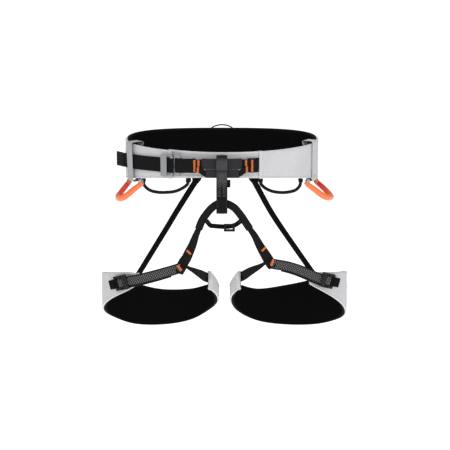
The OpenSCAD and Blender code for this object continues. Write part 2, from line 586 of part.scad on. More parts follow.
// the sewn eye that ties the buckle to the pad
anchor_t = 1.4;
leg_eye = eye_turn(leg_buckle, anchor_t);
module leg_buckle_anchor(s) {
    tail = [[leg_buckle[7] + 9, -gap - anchor_t/2 - 0.4], [leg_buckle[7] + 14, -1.8]];
    path = concat([[leg_buckle[7] + 7, 1.3]], leg_eye, tail);
    color(web_black) skin(rings([for (i = [0:len(path) - 1])
        let (p = path[i], m = turned_out(path, i))
        station(leg_local(s, -p[0], p[1]), m[0]*leg_strap_dir(s) + -m[1]*leg_n(s),
            leg_strap_w - 2, anchor_t)]));
}

// where the yoke's arm, the leg strap and the inner strap are sewn together
junction_t = 3.4;
junction_outline = [
    [[-77, -cut], [-57.5, -cut], [-60, -8], [-61, -15], [-65, -21], [-80, -21], [-80, -4]],
    [[87, -cut], [69, -cut], [74, -9], [75, -15], [80, -20], [96, -20], [96, -6]]];
module leg_junction(s) {
    j = s < 0 ? junction_left : junction_right;
    color(web_black) translate([0, j[1] + junction_t/2, j[2]]) rotate([90, 0, 0])
        linear_extrude(junction_t) polygon(junction_outline[s < 0 ? 0 : 1]);
}
inner_plan = [
    [[-58.6, -82.5, -181, 6], [-49, -75, -187.5, 9.5], [-38.5, -59, -197, 14], [-31.7, -42.6, -205, 16.5],
     [-26.5, -30.6, -210, 17], [-21.8, -20.7, -213, 17]],
    [[73.1, -84, -173.5, 6], [64, -76.5, -181, 9.5], [50.5, -62, -191.5, 14], [41, -43.5, -202, 16.5],
     [35.4, -30.4, -208, 17], [30.7, -20.5, -212, 17]]];
inner_t = 1.6;
module leg_inner_strap(s) {
    plan = inner_plan[s < 0 ? 0 : 1];
    color(web_black) skin(rings(smooth([for (q = plan)
        station([q[0], q[1], q[2]], [-s*(0.78 + 0.012*q[1] + 0.36), -0.62, 0], q[3], inner_t)], 3),
        first = [-s, 0, 0]));
}
module leg_bar_tacks(s) {
    q = s < 0 ? [-73.8, -84.5, -181, 32] : [87.7, -86, -171, -22];
    color(orange_thread) translate([q[0], q[1], q[2]]) rotate([0, -q[3], 0])
        translate([-2, -tack_t, -5.5]) cube([4, tack_t, 11]);
}

// ---- one line per node ----
waist_lining();
waist_foam();
waist_shell();
waist_binding_top();
waist_binding_bottom();
front_flap();
tie_in_webbing();
tie_in_sleeve();
tie_in_lower_webbing();
tie_in_lower_sleeve();
waist_bar_tacks();
waist_strap();
waist_buckle_frame();
waist_buckle_latch();
strap_keeper_left();
strap_keeper_right();
gear_loop_tabs();
gear_loop_front_left();
gear_loop_front_right();
gear_loop_rear_left();
gear_loop_rear_right();
haul_loop();
belay_loop();
belay_loop_lap();
yoke_webbing();
yoke_sleeve();
yoke_bar_tacks();
cross_strap();
cross_strap_hook();
riser_tabs();
riser_left();
riser_right();
leg_lining(-1);  // leg_lining_left
leg_foam(-1);  // leg_foam_left
leg_shell(-1);  // leg_shell_left
leg_binding(-1);  // leg_binding_left
leg_junction(-1);  // leg_junction_left
leg_strap(-1);  // leg_strap_left
leg_inner_strap(-1);  // leg_inner_strap_left
leg_bar_tacks(-1);  // leg_bar_tacks_left
leg_buckle_anchor(-1);  // leg_buckle_anchor_left
leg_buckle_frame(-1);  // leg_buckle_frame_left
leg_buckle_latch(-1);  // leg_buckle_latch_left
leg_lining(1);  // leg_lining_right
leg_foam(1);  // leg_foam_right
leg_shell(1);  // leg_shell_right
leg_binding(1);  // leg_binding_right
leg_junction(1);  // leg_junction_right
leg_strap(1);  // leg_strap_right
leg_inner_strap(1);  // leg_inner_strap_right
leg_bar_tacks(1);  // leg_bar_tacks_right
leg_buckle_anchor(1);  // leg_buckle_anchor_right
leg_buckle_frame(1);  // leg_buckle_frame_right
leg_buckle_latch(1);  // leg_buckle_latch_right
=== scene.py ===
# Looks of the climbing harness, built round its CAD model.
# Lengths are worked out in millimetres, as in the design, and written to the meshes in metres.
import math
import random

import bpy
import numpy as np
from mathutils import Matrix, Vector, noise


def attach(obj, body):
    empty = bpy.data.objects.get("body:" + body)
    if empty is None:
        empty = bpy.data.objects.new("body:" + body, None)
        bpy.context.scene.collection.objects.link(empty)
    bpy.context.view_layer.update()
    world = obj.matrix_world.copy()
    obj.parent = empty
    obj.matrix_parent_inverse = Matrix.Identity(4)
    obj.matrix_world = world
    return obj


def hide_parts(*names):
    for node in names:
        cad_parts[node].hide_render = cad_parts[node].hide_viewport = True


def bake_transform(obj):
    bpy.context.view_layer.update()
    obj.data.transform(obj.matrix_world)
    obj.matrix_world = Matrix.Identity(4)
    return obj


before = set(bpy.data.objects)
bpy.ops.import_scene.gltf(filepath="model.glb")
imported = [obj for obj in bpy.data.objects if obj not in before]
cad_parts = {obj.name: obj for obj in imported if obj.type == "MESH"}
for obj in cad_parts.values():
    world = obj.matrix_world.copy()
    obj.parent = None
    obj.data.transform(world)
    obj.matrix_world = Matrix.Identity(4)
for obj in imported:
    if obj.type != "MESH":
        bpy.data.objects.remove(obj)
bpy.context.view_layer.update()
MM = 0.001
random.seed(7)


# ---------------------------------------------------------------- camera, light, floor
CAMERA_ELEVATION = math.radians(11)
CAMERA_DISTANCE = 3.2
LENS = 143.4
AIM = Vector((0.0054, 0.0, -0.121))  # what the middle of the picture shows


def make_camera():
    data = bpy.data.cameras.new("camera")
    data.lens = LENS
    data.clip_end = 60
    camera = bpy.data.objects.new("camera", data)
    bpy.context.collection.objects.link(camera)
    back = Vector((0, -math.cos(CAMERA_ELEVATION), math.sin(CAMERA_ELEVATION)))
    camera.location = AIM + back * CAMERA_DISTANCE
    camera.rotation_euler = (math.pi / 2 - CAMERA_ELEVATION, 0, 0)
    bpy.context.scene.camera = camera


def make_light(name, place, size, watts, aim=(0, 0, -0.12)):
    data = bpy.data.lights.new(name, "AREA")
    data.shape = "RECTANGLE"
    data.size, data.size_y = size
    data.energy = watts
    light = bpy.data.objects.new(name, data)
    bpy.context.collection.objects.link(light)
    light.location = place
    light.rotation_euler = (Vector(aim) - Vector(place)).to_track_quat("-Z", "Y").to_euler()


def make_studio():
    make_light("key", (-0.9, -2.2, 2.2), (1.6, 1.6), 30)
    make_light("fill", (1.9, -1.9, 0.7), (1.6, 1.6), 13)
    make_light("top", (0.0, 0.5, 2.4), (2.2, 1.6), 18)
    world = bpy.data.worlds.new("studio")
    world.use_nodes = True
    world.node_tree.nodes["Background"].inputs[0].default_value = (1, 1, 1, 1)
    world.node_tree.nodes["Background"].inputs[1].default_value = 0.42
    bpy.context.scene.world = world
    bpy.context.scene.view_settings.view_transform = "Standard"
    bpy.ops.mesh.primitive_plane_add(size=60, location=(0, 0, -0.9))
    floor = bpy.context.object
    floor.name = "floor"
    material = bpy.data.materials.new("floor_paper")
    material.use_nodes = True
    shader = material.node_tree.nodes["Principled BSDF"]
    shader.inputs["Base Color"].default_value = (0.9, 0.9, 0.9, 1)
    shader.inputs["Roughness"].default_value = 0.95
    shader.inputs["Emission Color"].default_value = (1, 1, 1, 1)
    shader.inputs["Emission Strength"].default_value = 0.75
    floor.data.materials.append(material)


# ---------------------------------------------------------------- materials
class Finish:
    """A Principled material whose colour, roughness and bump come from nodes."""

    def __init__(self, name, roughness, specular, sheen=0.0, metallic=0.0):
        self.material = bpy.data.materials.new(name)
        self.material.use_nodes = True
        self.tree = self.material.node_tree
        self.shader = self.tree.nodes["Principled BSDF"]
        self.set("Metallic", metallic)
        self.set("Specular IOR Level", specular)
        self.set("Roughness", roughness)
        self.set("Sheen Weight", sheen)

    def set(self, socket, value):
        self.shader.inputs[socket].default_value = value

    def wire(self, value, socket):
        if isinstance(value, bpy.types.NodeSocket):
            self.tree.links.new(value, socket)
        else:
            socket.default_value = value

    def node(self, kind, inputs, **settings):
        """A node with its settings, and its inputs wired or set by name or number."""
        node = self.tree.nodes.new("ShaderNode" + kind)
        for name, value in settings.items():
            setattr(node, name, value)
        for key, value in inputs.items():
            self.wire(value, node.inputs[key])
        return node

    def math(self, operation, *values):
        return self.node("Math", dict(enumerate(values)), operation=operation).outputs[0]

    def times(self, a, b):
        return self.math("MULTIPLY", a, b)

    def plus(self, a, share, b, share_b=None):
        """share of a plus share_b, or all, of b."""
        return self.math("MULTIPLY_ADD", a, share, b if share_b is None else self.times(b, share_b))

    def inverse(self, value):
        return self.math("SUBTRACT", 1.0, value)

    def along_across(self):
        """Lengths along and across the piece, in millimetres."""
        coordinates = self.node("TexCoord", {}).outputs["UV"]
        split = self.node("SeparateXYZ", {0: coordinates})
        return [self.times(split.outputs[i], 1000.0) for i in (0, 1)]

    def wave(self, value, pitch):
        """0 to 1 and back over each pitch."""
        return self.plus(self.math("SINE", self.times(value, 2 * math.pi / pitch)), 0.5, 0.5)

    def noise(self, scale, detail=3.0):
        place_on = self.node("TexCoord", {}).outputs["Object"]
        return self.node("TexNoise", {"Vector": place_on, "Scale": scale, "Detail": detail,
                                      "Roughness": 0.6}).outputs["Fac"]

    def ramp(self, value, low, high):
        return self.node("MapRange", {"Value": value, "To Min": low, "To Max": high}
                         ).outputs["Result"]

    def step(self, value, edge, softness):
        return self.node("MapRange", {"Value": value, "From Min": edge - softness,
                                      "From Max": edge + softness},
                         interpolation_type="SMOOTHSTEP").outputs["Result"]

    def blend(self, factor, dark, light):
        dark, light = [v if isinstance(v, bpy.types.NodeSocket) else (*v, 1)
                       for v in (dark, light)]
        return self.node("Mix", {0: factor, 6: dark, 7: light}, data_type="RGBA").outputs[2]

    def tones(self, factor, colour, low, high):
        return self.blend(factor, shade(colour, low), shade(colour, high))

    def dress(self, colour, roughness, height, depth_mm):
        """Wires the shader up and gives the material."""
        bump = self.node("Bump", {"Strength": 1.0, "Distance": depth_mm * MM, "Height": height})
        for socket, value in (("Base Color", colour), ("Roughness", roughness),
                              ("Normal", bump.outputs["Normal"])):
            self.wire(value, self.shader.inputs[socket])
        return self.material


def shade(colour, factor):
    return tuple(min(1.0, c * factor) for c in colour)


def webbing_finish(name, colour, pitch=1.5, rows=3.2, specular=0.06, contrast=2.4, depth=0.22,
                   highlight_end=0.0):
    """Woven tape: ribs across it that lean one way and then the other in rows."""
    f = Finish(name, 0.62, specular)
    along, across = f.along_across()
    ribs = f.wave(f.plus(f.math("PINGPONG", across, rows), 0.55, along), pitch)
    weave = f.plus(f.wave(across, 0.8), 0.3, ribs, 0.7)
    worn = f.noise(160)
    dye_and_highlight = f.tones(f.plus(worn, 0.5, weave, 0.6), colour, 1 / contrast, contrast)
    if highlight_end:      # painted highlight: paler where the loop turns over the tie-in point and catches the light
        start, end = f.step(along, highlight_end - 22, 7), f.step(along, highlight_end, 7)
        painted_highlight = f.times(f.times(start, f.inverse(end)), f.ramp(f.noise(90, 4), 0.1, 1.0))
        dye_and_highlight = f.blend(painted_highlight, dye_and_highlight, HIGHLIGHT_GREY)
    return f.dress(dye_and_highlight, f.ramp(worn, 0.5, 0.75), weave, depth)


def patterned_finish(name, ground, figure):
    """Tape with a woven figure of small pairs of slanting bars, plain along its edges."""
    f = Finish(name, 0.62, 0.08)
    along, across = f.along_across()
    rising = f.wave(f.plus(across, 0.8, along), 4.1)
    falling = f.wave(f.plus(across, -0.8, along), 4.7)
    inside = f.inverse(f.step(f.math("ABSOLUTE", across), 6.9, 0.4))
    bars = f.times(f.step(rising, 0.5, 0.2), f.ramp(f.step(falling, 0.45, 0.2), 0.2, 1))
    mask = f.times(bars, inside)
    weave = f.plus(f.wave(along, 0.9), 0.35, f.plus(mask, 0.45, f.wave(across, 0.8), 0.2))
    base = f.tones(f.noise(120), ground, 0.75, 1.25)
    return f.dress(f.blend(mask, base, figure), f.ramp(mask, 0.78, 0.6), weave, 0.25)


def face_fabric_finish(name, colour):
    """Light face fabric: fine plain weave with a raised thread every few millimetres."""
    f = Finish(name, 0.7, 0.3, sheen=0.15)
    along, across = f.along_across()
    plain = f.times(f.wave(along, 0.9), f.wave(across, 0.9))
    rip = f.math("MAXIMUM", *(f.step(f.wave(way, 5.0), 0.93, 0.05) for way in (along, across)))
    cloudy = f.noise(22, 4)
    return f.dress(f.tones(f.plus(rip, 0.25, cloudy, 0.9), colour, 0.82, 1.1),
                   f.ramp(cloudy, 0.62, 0.78), f.plus(rip, 0.35, plain, 0.45), 0.16)


def mesh_finish(name, thread, hole):
    """Open knitted mesh: round holes in staggered rows over a darker ground."""
    f = Finish(name, 0.85, 0.04)
    a, b = (f.math("SUBTRACT", f.wave(way, pitch), 0.5)
            for way, pitch in zip(f.along_across(), (2.6, 2.2)))
    fuzz = f.noise(300)
    tone = f.times(f.inverse(f.step(f.times(a, b), 0.02, 0.06)), f.ramp(fuzz, 0.55, 1.0))
    return f.dress(f.blend(tone, hole, thread), f.ramp(fuzz, 0.78, 0.95), tone, 0.3)


def elastic_finish(name, colour, pitch=1.3, specular=0.16):
    """Knitted elastic: close ribs across the band and soft cords along it."""
    f = Finish(name, 0.75, specular)
    along, across = f.along_across()
    knit = f.plus(f.wave(across, 2.0), 0.6, f.wave(along, pitch), 0.4)
    return f.dress(f.tones(f.plus(f.noise(140), 0.4, knit, 0.6), colour, 0.62, 1.3),
                   f.ramp(knit, 0.85, 0.65), knit, 0.25)


def cord_finish(name, colour):
    """Braided sheath: two sets of strands that cross round the cord."""
    f = Finish(name, 0.55, 0.12)
    along, across = f.along_across()
    braid = f.math("MAXIMUM", *(f.wave(f.plus(across, way, along), 2.1) for way in (1.0, -1.0)))
    return f.dress(f.tones(f.plus(f.noise(200), 0.35, braid, 0.6), colour, 0.5, 2.2),
                   f.ramp(braid, 0.75, 0.5), braid, 0.25)


def thread_finish(name, colour):
    """Twisted sewing thread."""
    f = Finish(name, 0.55, 0.4, sheen=0.2)
    along, across = f.along_across()
    twist = f.wave(f.plus(across, 0.8, along), 0.7)
    return f.dress(f.tones(f.plus(f.noise(260), 0.5, twist, 0.5), colour, 0.7, 1.15),
                   f.ramp(twist, 0.6, 0.45), twist, 0.08)


def metal_finish(name, colour, roughness, metallic=1.0, specular=0.5):
    """Anodised aluminium: tumbled, with faint drawn lines and worn, lighter patches."""
    f = Finish(name, roughness, specular, metallic=metallic)
    grain, patches = f.noise(900, 2), f.noise(70, 4)
    rough = f.ramp(f.plus(grain, 0.4, patches, 0.6), roughness - 0.1, roughness + 0.12)
    return f.dress(f.tones(patches, colour, 0.82, 1.15), rough, grain, 0.02)


def plastic_finish(name, colour, roughness, subsurface=0.0, specular=0.45, far=None):
    """Moulded plastic with a fine spark-eroded skin; far, if given, is the colour of a painted
    shade towards its far end.
    """
    f = Finish(name, roughness, specular)
    f.set("Subsurface Weight", subsurface)
    f.set("Subsurface Scale", 0.004)
    cloudy = f.noise(45, 3)
    tint_and_shade = f.tones(cloudy, colour, 0.93, 1.06)
    if far:          # painted shade: the colour deepens towards the far end, which turns away from the light
        tint_and_shade = f.blend(f.step(f.along_across()[0], 92, 34), tint_and_shade, far)
    return f.dress(tint_and_shade, f.ramp(cloudy, roughness - 0.06, roughness + 0.08), f.noise(1400, 2),
                   0.03)


def foam_finish(name, colour):
    """Closed-cell foam, seen only where a pad is cut."""
    f = Finish(name, 0.9, 0.2)
    cells = f.noise(700, 3)
    return f.dress(f.tones(cells, colour, 0.6, 1.3), 0.9, cells, 0.15)


# a painted highlight for black webbing, not a colour of the tape
HIGHLIGHT_GREY = (0.10, 0.10, 0.105)
LIGHT_GREY = (0.60, 0.60, 0.615)
TAPE_GREY = (0.66, 0.66, 0.68)
BLACK = (0.006, 0.006, 0.0065)
DEEP_BLACK = (0.005, 0.005, 0.0055)
SLEEVE_GREY = (0.022, 0.022, 0.024)
ORANGE_THREAD = (0.90, 0.22, 0.03)
ORANGE_PLASTIC = (0.95, 0.20, 0.055)

SHELL = face_fabric_finish("face_fabric", LIGHT_GREY)
TAPE = elastic_finish("binding_tape", TAPE_GREY, 1.0)
TAPE_BLACK = elastic_finish("black_tape", DEEP_BLACK, 1.0, 0.05)
LINING = mesh_finish("mesh_lining", (0.005, 0.0045, 0.005), (0.0015, 0.0015, 0.0015))
FOAM = foam_finish("foam", (0.10, 0.10, 0.11))
WEBBING = webbing_finish("black_webbing", BLACK)
STRAP = webbing_finish("strap_webbing", DEEP_BLACK, pitch=1.9, rows=6.0)
SLEEVE = webbing_finish("sleeve_weave", SLEEVE_GREY, pitch=2.2, rows=2.2,
                         specular=0.14, contrast=1.6, depth=0.3)
YOKE_SLEEVE = webbing_finish("yoke_sleeve_weave", (0.009, 0.009, 0.0095), pitch=2.2, rows=2.2,
                              contrast=1.8, depth=0.3)
# the belay loop's webbing gets a painted highlight where it turns over at the top
BELAY = webbing_finish("belay_webbing", (0.0055, 0.0055, 0.006), pitch=1.7, rows=4.7, highlight_end=44)
PATTERNED = patterned_finish("patterned_webbing", (0.010, 0.010, 0.011), (0.21, 0.21, 0.215))
ELASTIC = elastic_finish("grey_elastic", (0.42, 0.42, 0.435))
SHELL_ELASTIC = elastic_finish("pale_elastic", (0.58, 0.58, 0.595))
ELASTIC_BLACK = elastic_finish("black_elastic", DEEP_BLACK, 1.3, 0.05)
CORD = cord_finish("black_cord", BLACK)
ORANGE_STITCH = thread_finish("orange_thread", ORANGE_THREAD)
GREY_STITCH = thread_finish("grey_thread", (0.45, 0.45, 0.46))
BLACK_STITCH = thread_finish("black_thread", (0.02, 0.02, 0.022))
DARK_STITCH = thread_finish("dark_thread", (0.09, 0.09, 0.095))
ALLOY = metal_finish("grey_alloy", (0.31, 0.315, 0.33), 0.32)
ALLOY_BLACK = metal_finish("black_alloy", (0.02, 0.02, 0.022), 0.42, 0.25, 0.12)
# the bows' far legs darken to a painted shade where they turn away from the light
GEAR_PLASTIC = plastic_finish("orange_moulding", ORANGE_PLASTIC, 0.3, 0.1, far=(0.62, 0.035, 0.02))
HOOK_PLASTIC = plastic_finish("black_moulding", BLACK, 0.4, specular=0.12)


# ---------------------------------------------------------------- curves
def vec(*v):
    return np.array(v, float)


def unit(v):
    return v / np.linalg.norm(v)


def catmull(a, b, c, d, f):
    return 0.5 * (2 * b + (c - a) * f + (2 * a - 5 * b + 4 * c - d) * f * f
                  + (3 * b - a - 3 * c + d) * f ** 3)


def smooth(rows, steps):
    """A smooth curve through the rows, with that many steps from row to row."""
    rows = np.array(rows, float)
    last = len(rows) - 1
    out = []
    for i in range(last):
        for k in range(steps):
            out.append(catmull(rows[max(i - 1, 0)], rows[i], rows[i + 1],
                               rows[min(i + 2, last)], k / steps))
    out.append(rows[last])
    return np.array(out)


def row(point, normal, width, thickness):
    """One station of a strap: its point, outward face normal, width and thickness."""
    return [*point, *unit(np.array(normal, float)), width, thickness]


# ---------------------------------------------------------------- meshes
def make_object(name, points, faces, uvs, material, sharp=50):
    """A mesh from points in mm, faces, and one (u, v) in mm for each corner of each face."""
    mesh = bpy.data.meshes.new(name)
    mesh.from_pydata((np.array(points) * MM).tolist(), [], faces)
    layer = mesh.uv_layers.new(name="UVMap")
    layer.data.foreach_set("uv", (np.array(uvs, float) * MM).ravel())
    mesh.materials.append(material)
    mesh.shade_smooth()
    mesh.set_sharp_from_angle(angle=math.radians(sharp))
    mesh.validate()
    mesh.update()
    obj = bpy.data.objects.new(name, mesh)
    bpy.context.collection.objects.link(obj)
    return obj


def tube_mesh(name, rings, u, v, material, closed=False, sharp=50):
    """A closed skin over rings of points. u is the length at each ring and v at each point,
    with one more of each where the skin joins up; a skin that isn't closed gets end faces."""
    rings = np.array(rings, float)
    rows, count = rings.shape[:2]
    v = [*v, v[0]] if len(v) == count else v
    if closed and len(u) == rows:
        u = [*u, u[-1] + np.linalg.norm(rings[0, 0] - rings[-1, 0])]
    faces, uvs = [], []
    for i in range(rows if closed else rows - 1):
        j = (i + 1) % rows
        for k in range(count):
            l = (k + 1) % count
            faces.append([i * count + k, i * count + l, j * count + l, j * count + k])
            uvs += [(u[i], v[k]), (u[i], v[k + 1]), (u[i + 1], v[k + 1]), (u[i + 1], v[k])]
    if not closed:
        faces.append(list(range(count))[::-1])
        uvs += [(u[0], v[k]) for k in range(count)][::-1]
        faces.append([(rows - 1) * count + k for k in range(count)])
        uvs += [(u[-1], v[k]) for k in range(count)]
    return make_object(name, rings.reshape(-1, 3), faces, uvs, material, sharp)


def lengths(points):
    steps = np.linalg.norm(np.diff(np.array(points), axis=0), axis=1)
    return [0.0, *np.cumsum(steps).tolist()]


def round_outline(outline):
    """Lengths round a section, back to its first point."""
    return lengths([(*q[:2], 0) for q in [*outline, outline[0]]])


def symmetric(half):
    """A section's outline from its first half: the second is the same, turned half round."""
    return half + [(-across, -out) for across, out in half]


def strap_outline(width, thickness, faces=6, edge=3):
    """Points round a strap's section as (across, out), from the outer face round."""
    r = min(thickness * 0.48, width * 0.2)
    a, h = width / 2 - r, thickness / 2
    face = [(-a + 2 * a * i / faces, h) for i in range(faces + 1)]
    return symmetric(face + [(a + r * math.sin(math.pi * i / (edge + 1)) ** 0.8,
                              h * math.cos(math.pi * i / (edge + 1))) for i in range(1, edge + 1)])


def oval_outline(width, thickness, sides=16):
    return [(width / 2 * math.sin(2 * math.pi * i / sides),
             thickness / 2 * math.cos(2 * math.pi * i / sides)) for i in range(sides)]


def headings(points, closed=False):
    points = np.array(points)
    ways = (np.roll(points, -1, 0) - np.roll(points, 1, 0) if closed
            else np.gradient(points, axis=0))
    return np.array([unit(d) for d in ways])


def sections(rows, outline, first=None, closed=False, ripple=0.0):
    """Rings of points along the rows of a strap, shaped by outline(width, thickness)."""
    ways = headings(rows[:, :3], closed)
    if first is not None:
        ways[0] = first
    rings = []
    for r, way in zip(rows, ways):
        normal = unit(r[3:6] - np.dot(r[3:6], way) * way)
        across = np.cross(way, normal)
        lift = ripple * noise.noise(Vector(r[:3]) * 0.05)
        rings.append([r[:3] + (h + lift) * normal + a * across for a, h in outline(r[6], r[7])])
    return rings


def strap(name, rows, material, outline=strap_outline, steps=1, flat=False, **kw):
    """A strap or cord along the rows. The weave's lengths follow it."""
    rows = smooth(rows, steps) if steps > 1 else np.array(rows, float)
    shape = outline(rows[:, 6].max(), rows[:, 7].max())
    flat = flat or outline is strap_outline
    return tube_mesh(name, sections(rows, outline, **kw), lengths(rows[:, :3]),
                     [a for a, _ in shape] if flat else round_outline(shape), material,
                     kw.get("closed", False))


def sleeve(name, rows, material, wall, steps):
    """A tubular strap, open at both ends, so that what runs inside it shows."""
    rows = smooth(rows, steps)
    inner = rows.copy()
    inner[:, 6:8] -= 2 * wall
    # out along the outside, over the rim, back along the inside, over the other rim
    loop = sections(rows, strap_outline) + sections(inner, strap_outline)[::-1]
    along = lengths(rows[:, :3])
    v = [a for a, _ in strap_outline(rows[0, 6], rows[0, 7])]
    return tube_mesh(name, loop, along + along[::-1] + [along[0]], v, material, closed=True)


def join(name, objects):
    """One piece from several meshes."""
    for o in bpy.context.selected_objects:
        o.select_set(False)
    for o in objects:
        o.select_set(True)
    bpy.context.view_layer.objects.active = objects[0]
    bpy.ops.object.join()
    joined = bpy.context.view_layer.objects.active
    joined.name = name
    joined.data.name = name
    return joined


def place(obj, body, slot, *nodes):
    """Hangs a piece on its body and hides the CAD nodes it stands for. slot is not used."""
    if nodes:
        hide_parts(*nodes)
    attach(obj, body)


# ---------------------------------------------------------------- thread
def threads(name, paths, radius, material, sides=5):
    """Threads of round section along each path of points, as one piece."""
    points, faces, uvs = [], [], []
    helper = vec(0.31, 0.43, 0.85)
    turns = [2 * math.pi * k / sides for k in range(sides)]
    w = turns[1] * radius
    for path in paths:
        path = np.array(path, float)
        along = lengths(path)
        base = len(points)
        for p, way in zip(path, headings(path)):
            side = unit(np.cross(way, helper))
            up = np.cross(way, side)
            points += [p + radius * (math.cos(a) * side + math.sin(a) * up) for a in turns]
        for i in range(len(path) - 1):
            for k in range(sides):
                corner, l = base + i * sides, (k + 1) % sides
                faces.append([corner + k, corner + l, corner + sides + l, corner + sides + k])
                uvs += [(along[i], k * w), (along[i], (k + 1) * w),
                        (along[i + 1], (k + 1) * w), (along[i + 1], k * w)]
        faces.append([base + k for k in range(sides)][::-1])
        faces.append([base + (len(path) - 1) * sides + k for k in range(sides)])
        uvs += [(0, 0)] * (2 * sides)
    return make_object(name, points, faces, uvs, material, 80)


def sew(name, paths, radius, material, body, slot, *nodes, sides=5):
    place(threads(name, paths, radius, material, sides), body, slot, *nodes)


def stitch_paths(points, normals, length, pitch, sink=0.15, proud=0.28):
    """Short arched stitches along a line of points on a surface."""
    points, normals = np.array(points, float), np.array(normals, float)
    along = lengths(points)
    arch = ((0, -sink), (0.2, proud * 0.7), (0.5, proud), (0.8, proud * 0.7), (1, -sink))
    paths = []
    at = pitch / 2
    while at + length < along[-1]:
        path = []
        for f, lift in arch:
            p, n = (np.array([np.interp(at + f * length, along, values[:, c]) for c in range(3)])
                    for values in (points, normals))
            path.append(p + lift * unit(n))
        paths.append(path)
        at += pitch
    return paths


def tack_paths(centre, across, along, normal, width, height, pitch=0.62):
    """A bar tack: thread laid to and fro across a bar, width by height."""
    centre, across, along, normal = (np.array(v, float) for v in (centre, across, along, normal))
    turns = max(4, int(height / pitch))
    path = []
    for i in range(turns + 1):
        y = -height / 2 + height * i / turns
        side = 1 if i % 2 else -1
        for x, lift in ((-side, -0.15), (-side * 0.85, 0.35), (0, 0.5), (side * 0.85, 0.35),
                        (side, -0.15)):
            jitter = random.uniform(-0.08, 0.08)
            rise = y + x * side * pitch * 0.4 + jitter
            path.append(centre + x * width / 2 * across + rise * along + lift * normal)
    return path


# ---------------------------------------------------------------- the belt's surface
BELT_A, BELT_B = 170.0, 97.0
BELT_T, LINING_T = 8.0, 1.2


def belt_xy(t):
    c, s = math.cos(math.radians(t)), math.sin(math.radians(t))
    e = 2 / (2.3 + 0.3 * s)
    return vec(BELT_A * math.copysign(abs(c) ** e, c), BELT_B * math.copysign(abs(s) ** e, s), 0)


def belt_along(t):
    return unit(belt_xy(t + 0.5) - belt_xy(t - 0.5))


def belt_out(t):
    return np.cross(belt_along(t), vec(0, 0, 1))


def belt_top(y):
    return 36 + 0.0888 * y - 3.4 * (y / BELT_B) ** 2


def belt_bottom(y):
    return -36 - 0.155 * y


def belt_pt(t, out, z):
    return belt_xy(t) + out * belt_out(t) + vec(0, 0, z)


def front_t(x):
    return 270 + math.degrees(math.asin(x / BELT_A))


LEG_A, LEG_B, LEG_MID, LEG_T = 105.0, 76.0, 4.3, 7.0
LEG_X = LEG_MID - 229.4 / 2
LEG_EDGES = {
    -1: smooth([(-30, -197, -230.5), (0, -231, -257.5), (30, -237, -284), (60, -252, -311),
                (90, -255, -322), (120, -241, -318), (150, -222, -298), (180, -207, -275),
                (210, -199, -249.5), (235, -194, -229), (250, -194.5, -214)], 10),
    1: smooth([(-30, -197, -230.5), (0, -230, -258), (30, -238, -289), (60, -252, -313),
               (90, -247, -322), (120, -233.5, -319), (150, -217, -304), (180, -205, -282),
               (210, -198.5, -253), (235, -194, -229), (250, -194.5, -214)], 10)}


def leg_pt(a, out, z, side):
    """A point on a leg loop's surface; side is -1 for the left loop and 1 for the right."""
    a = math.radians(a)
    outward = unit(vec(math.cos(a) / LEG_A, math.sin(a) / LEG_B, 0))
    p = vec(LEG_X + LEG_A * math.cos(a), LEG_B * math.sin(a), z) + out * outward
    return p if side < 0 else vec(2 * LEG_MID - p[0], p[1], p[2])


class Pad:
    """A padded band, depth thick. at(s, h, out) is the point at station s along it, h up it
    (0 to 1), out from its face. along holds the length at each station."""

    def __init__(self, stations, at, depth, mirrored=False):
        self.at, self.depth, self.mirrored, self.stations = at, depth, mirrored, stations
        self.along = lengths([at(s, 0.5, 0) for s in stations])

    def height(self, s):
        return np.linalg.norm(self.at(s, 1, 0) - self.at(s, 0, 0))

    def normal(self, s, h):
        return unit(self.at(s, h, 1) - self.at(s, h, 0))

    def station_at(self, length):
        return float(np.interp(length, self.along, self.stations))

    def winding(self, top):
        """Which way round a section along an edge is taken, for faces that look outwards."""
        return 1 if top != self.mirrored else -1


def belt_pad():
    def at(t, h, out):
        y = belt_xy(t)[1]
        low, high = belt_bottom(y), belt_top(y)
        return belt_pt(t, out, low + h * (high - low))
    return Pad(np.linspace(front_t(64) - 360, front_t(-86), 261), at, BELT_T)


def leg_pad(side):
    angles, tops, lows = LEG_EDGES[side].T

    def at(a, h, out):
        top, low = np.interp(a, angles, tops), np.interp(a, angles, lows)
        return leg_pt(a, out, low + h * (top - low), side)
    return Pad(np.linspace(angles[0], angles[-1], 181), at, LEG_T, side > 0)


def pad_sheet(name, pad, inset, face, back, material, columns):
    """A sheet of the pad: face and back give, for a length along it and a height up it, how
    far the sheet's two sides stand from the pad's face."""
    rings = []
    for s, length in zip(pad.stations, pad.along):
        margin = inset / pad.height(s)
        hs = [margin + (1 - 2 * margin) * k / (columns - 1) for k in range(columns)]
        hs = hs if pad.mirrored else hs[::-1]
        rings.append([pad.at(s, h, face(length, h)) for h in hs]
                     + [pad.at(s, h, back(length, h)) for h in hs[::-1]])
    mean = float(np.mean([pad.height(s) for s in pad.stations]))
    v = [mean * k / (columns - 1) for k in range(columns)]
    return tube_mesh(name, rings, pad.along, v + v[::-1], material, sharp=40)


def padded_layers(pad, body, names, nodes, inset, columns, face, back):
    """The outer fabric and, against the wearer, the mesh lining, which swells by back."""
    inner = LINING_T - pad.depth
    shell = pad_sheet(names[0], pad, inset, face, lambda length, h: face(length, h) - 1.45,
                      SHELL, columns)
    lining = pad_sheet(names[1], pad, 2.4, lambda length, h: inner,
                       lambda length, h: inner - back(length, h), LINING, 13)
    for sheet, slot, node in ((shell, "shell", nodes[0]), (lining, "lining", nodes[1])):
        place(sheet, body, slot, node)


def pucker(length, h, edge_mm, height, pitch=9.0, depth=0.35):
    """Small gathers that fade away from a sewn edge."""
    near = min(h, 1 - h) * height
    fade = math.exp(-near / edge_mm)
    phase = length / pitch + (0.4 if h > 0.5 else 0)
    return depth * fade * math.sin(2 * math.pi * phase + 1.3 * math.sin(length / 23.0))


